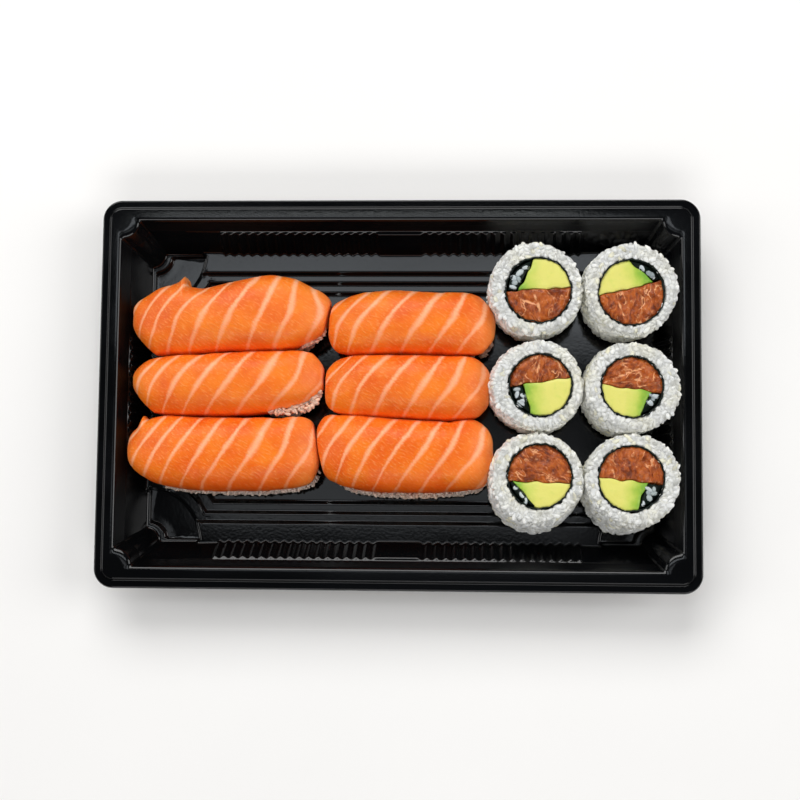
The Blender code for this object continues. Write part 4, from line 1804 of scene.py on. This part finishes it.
NIGIRI = (
    Nigiri(
        1, "left", (6.2, 11.9, 19.9, 28.9, 39.3, 51.0, 61.6, 72.6), ends=(-101.5, -24.9), spine=29.7,
        north=((-1.0, 9.8), (-0.84, 10.5), (-0.74, 12.2), (-0.54, 13.6), (-0.47, 16.4), (-0.445, 11.6),
               (-0.29, 10.3), (-0.04, 12.2), (0.11, 13.6), (0.38, 15.6), (0.63, 15.8), (0.82, 13.7),
               (1.0, 14.3)),
        south=((-1.0, 15.5), (-0.76, 19.2), (-0.6, 16.8), (-0.03, 14.2), (0.62, 14.6), (0.77, 13.0),
               (1.0, 10.5)),
        seam_lean=0.22, edge=9.0, heap=8.0, top_sheen=0.1, flap=(-0.475, 0.05),
        rice_out=((-1.0, -1.5), (0.6, -1.5), (0.7, 0.6), (0.9, 1.2)),
        north_lean=((0.0, 0.6), (0.25, 1.0), (0.4, 0.7), (0.55, 0.6), (0.8, 0.15), (0.97, -0.4)),
        south_lean=((0.0, 0.35), (0.4, 0.42), (1.0, 0.52)),
    ),
    Nigiri(
        1, "right", (5.8, 12.9, 23.3, 35.9, 47.6, 58.6), ends=(-27.0, 36.8), spine=26.5,
        north=((-1.0, 12.0), (-0.91, 12.4), (-0.56, 12.7), (-0.14, 12.4), (0.34, 12.3), (0.8, 14.0),
               (1.0, 12.0)),
        south=((-1.0, 17.5), (-0.8, 14.8), (-0.4, 12.4), (-0.13, 11.8), (0.35, 12.2), (0.7, 14.0),
               (0.86, 15.9), (1.0, 14.0)),
        seam_lean=0.22, rice_out=((-1.0, -1.5), (0.6, -1.0), (0.85, 0.4), (1.0, 0.4)),
    ),
    Nigiri(
        2, "left", (3.8, 10.2, 19.2, 28.6, 38.8, 51.2, 63.2, 73.0), ends=(-101.2, -27.4), spine=4.5,
        north=((-1.0, 8.0), (-0.83, 10.8), (-0.31, 10.2), (0.21, 11.3), (0.6, 12.7), (0.87, 16.2),
               (1.0, 14.5)),
        south=((-1.0, 10.0), (-0.76, 15.4), (-0.3, 13.8), (0.15, 13.2), (0.42, 12.6), (0.73, 11.2),
               (1.0, 9.6)),
        edge=9.0, heap=11.5,
        rice_out=((-1.0, -1.5), (0.3, -1.5), (0.48, 0.8), (0.6, 2.7), (0.7, 2.3), (0.82, 3.8), (0.95, 2.6)),
        south_lean=((0.0, 0.25), (0.3, 0.58), (0.6, 0.8), (1.0, 0.85)),
    ),
    Nigiri(
        2, "right", (0.8, 6.3, 15.1, 26.2, 38.6, 49.2, 59.4), ends=(-27.8, 35.4), spine=3.0,
        north=((-1.0, 13.5), (-0.77, 13.2), (-0.4, 12.0), (-0.1, 11.6), (0.5, 11.9), (0.8, 14.2),
               (1.0, 14.0)),
        south=((-1.0, 17.0), (-0.76, 13.9), (-0.4, 12.5), (-0.09, 12.7), (0.57, 14.1), (0.84, 16.4),
               (1.0, 17.4)),
    ),
    Nigiri(
        3, "left", (4.9, 12.0, 20.2, 29.3, 38.5, 49.3, 60.2, 69.2), ends=(-102.2, -28.9), spine=-22.5,
        north=((-1.0, 15.4), (-0.9, 15.1), (-0.845, 20.0), (-0.8, 16.1), (-0.66, 15.2), (-0.25, 13.0),
               (0.2, 12.9), (0.6, 14.3), (0.75, 16.8), (0.9, 20.0), (1.0, 20.2)),
        south=((-1.0, 12.0), (-0.75, 14.1), (0.1, 14.9), (0.37, 15.1), (0.6, 15.4), (0.77, 16.6),
               (0.92, 18.4), (1.0, 15.5)),
        seam_lean=-0.16, flap=(-0.845, 0.05), deep_red_and_shade=0.7, top_sheen=0.0,
        rice_out=((-1.0, -1.0), (-0.72, -0.5), (-0.6, 0.8), (-0.1, 0.5), (0.3, 0.5), (0.6, 0.7), (1.0, 0.4)),
        north_lean=((0.0, 0.8), (0.3, 0.66), (0.5, 0.66), (0.7, 0.45), (0.8, 0.3), (1.0, 0.15)),
        south_lean=((0.0, 0.5), (0.3, 0.6), (0.6, 0.7), (1.0, 0.6)),
    ),
    Nigiri(
        3, "right", (5.6, 13.3, 22.1, 31.5, 41.5, 51.4, 61.9), ends=(-31.2, 36.4), spine=-22.0,
        north=((-1.0, 22.0), (-0.9, 21.4), (-0.73, 16.7), (-0.4, 13.6), (-0.05, 12.3), (0.51, 11.6),
               (0.79, 15.7), (1.0, 16.8)),
        south=((-1.0, 11.6), (-0.83, 15.4), (-0.39, 15.3), (0.3, 15.6), (0.53, 15.9), (0.74, 17.0),
               (0.91, 20.4), (1.0, 17.5)),
        seam_lean=-0.16, deep_red_and_shade=0.7, top_sheen=0.0,
        rice_out=((-1.0, -1.0), (-0.8, -0.5), (-0.6, 0.6), (-0.2, 1.3), (0.6, 1.2), (1.0, 0.5)),
        north_lean=((0.0, 0.7), (0.4, 0.75), (0.6, 0.6), (0.8, 0.42), (1.0, 0.1)),
    ),
)
ROLLS = (
    Roll(
        1, "inner", fiber=(15.0, 3.4),
        splits=(((-1.7, -1.6), (0.0, -5.2), (0.9, -10.4)), ((-6.0, -3.5), (-0.2, -5.8))),
    ),
    Roll(1, "outer", fiber=(5.0, 3.0), splits=(((3.9, -1.9), (3.5, -8.5)), ((-5.0, -3.2), (-2.8, -9.5)))),
    Roll(2, "inner", fiber=(172.0, 2.8), splits=(((0.0, 9.3), (-1.7, 3.2)), ((5.6, 9.4), (8.6, 4.8)))),
    Roll(
        2, "outer", fiber=(112.0, 3.2),
        splits=(((-10.5, 1.4), (-2.2, 5.0), (5.6, 7.6)), ((-4.0, 1.6), (6.0, 3.6))),
    ),
    Roll(3, "inner", fiber=(60.0, 2.6)),
    Roll(3, "outer", fiber=(10.0, 3.0), splits=(((1.1, 4.0), (6.9, 7.4)), ((-7.0, 3.2), (-5.8, -0.4)))),
)


# ---------------------------------------------------------------- the studio
@dataclass(frozen=True)
class Softbox:
    """A soft light: its place, its size and its strength in watts."""

    name: str
    place: Point
    size: tuple[float, float]
    watts: float
    color: Color = (1.0, 1.0, 1.0)
    square: bool = False  # hangs in line with the tray, and isn't turned to its middle

    def build(self) -> None:
        """Adds the light."""
        aim = Vector((self.place[0] if self.square else 0.0, 0.0, 0.02))
        light = bpy.data.lights.new(self.name, "AREA")
        light.shape = "RECTANGLE"
        light.size, light.size_y = self.size
        light.energy = self.watts
        light.color = self.color
        lamp = bpy.data.objects.new(self.name, light)
        lamp.location = self.place
        lamp.rotation_euler = (Vector(self.place) - aim).to_track_quat("Z", "Y").to_euler()
        bpy.context.scene.collection.objects.link(lamp)


@dataclass
class Studio:
    """Floor, lights and camera."""

    floor_color: Color = (0.90, 0.885, 0.865)
    floor_size: float = 6.0
    sky: Color = (0.035, 0.037, 0.04)
    camera_place: Point = (0.0345, -0.060, 0.618)
    camera_turn: Point = (5.51, 3.14, 0.57)
    lens: float = 71.8
    lights: tuple[Softbox, ...] = (
        Softbox("overhead_strip", (-0.078, 0.245, 1.25), (0.56, 0.13), 0.645, (0.88, 0.94, 1.0), True),
        Softbox("north_strip", (-0.112, 0.333, 1.25), (0.505, 0.012), 0.10, (0.95, 1.0, 1.0), True),
        Softbox("ceiling", (-0.075, 0.035, 1.25), (0.46, 0.14), 0.065, (0.88, 0.94, 1.0), True),
        Softbox("south_strip", (-0.075, 0.005, 1.245), (0.45, 0.07), 0.085, (0.9, 0.95, 1.0), True),
        Softbox("north_key", (-0.25, 1.10, 1.10), (1.3, 0.8), 17.3),
        Softbox("west_fill", (-1.20, 0.15, 0.95), (0.8, 0.9), 6.2),
        Softbox("east_fill", (1.20, 0.15, 0.95), (0.8, 0.9), 9.6),
        Softbox("south_fill", (0.1, -1.0, 1.1), (1.2, 0.5), 7.5),
    )

    def build(self) -> None:
        """Makes the studio."""
        bm = bmesh.new()
        bmesh.ops.create_grid(bm, x_segments=1, y_segments=1, size=self.floor_size / 2)
        mesh = bpy.data.meshes.new("studio_floor")
        bm.to_mesh(mesh)
        bm.free()
        sketch = Sketch("pale_floor", Roughness=0.6)
        darker = tuple(part * 0.97 for part in self.floor_color)
        sketch.color(sketch.ramp(sketch.noise(6.0), [(0.3, darker), (0.7, self.floor_color)]))
        mesh.materials.append(sketch.material)
        floor = bpy.data.objects.new("studio_floor", mesh)
        bpy.context.scene.collection.objects.link(floor)
        for light in self.lights:
            light.build()
        world = bpy.data.worlds.new("studio")
        world.use_nodes = True
        world.node_tree.nodes["Background"].inputs["Color"].default_value = (*self.sky, 1.0)
        bpy.context.scene.world = world
        lens = bpy.data.cameras.new("camera")
        lens.lens = self.lens
        lens.sensor_width = 36.0
        camera = bpy.data.objects.new("camera", lens)
        camera.location = self.camera_place
        camera.rotation_euler = [math.radians(turn) for turn in self.camera_turn]
        bpy.context.scene.collection.objects.link(camera)
        bpy.context.scene.camera = camera
        bpy.context.scene.view_settings.view_transform = "Standard"


def main() -> None:
    """Builds the tray, the food and the studio."""
    Studio().build()
    Tray().build(BlackPlastic())
    finishes = Finishes()
    for nigiri in NIGIRI:
        nigiri.build_slice(finishes.flesh)
        nigiri.build_rice(finishes.core, finishes.block_grain_shaded)
    for roll in ROLLS:
        roll.build_rice(finishes.core, finishes.grain)
        roll.build_nori(finishes.seaweed)
        roll.build_fillings(finishes)


if __name__ == "__main__":
    main()
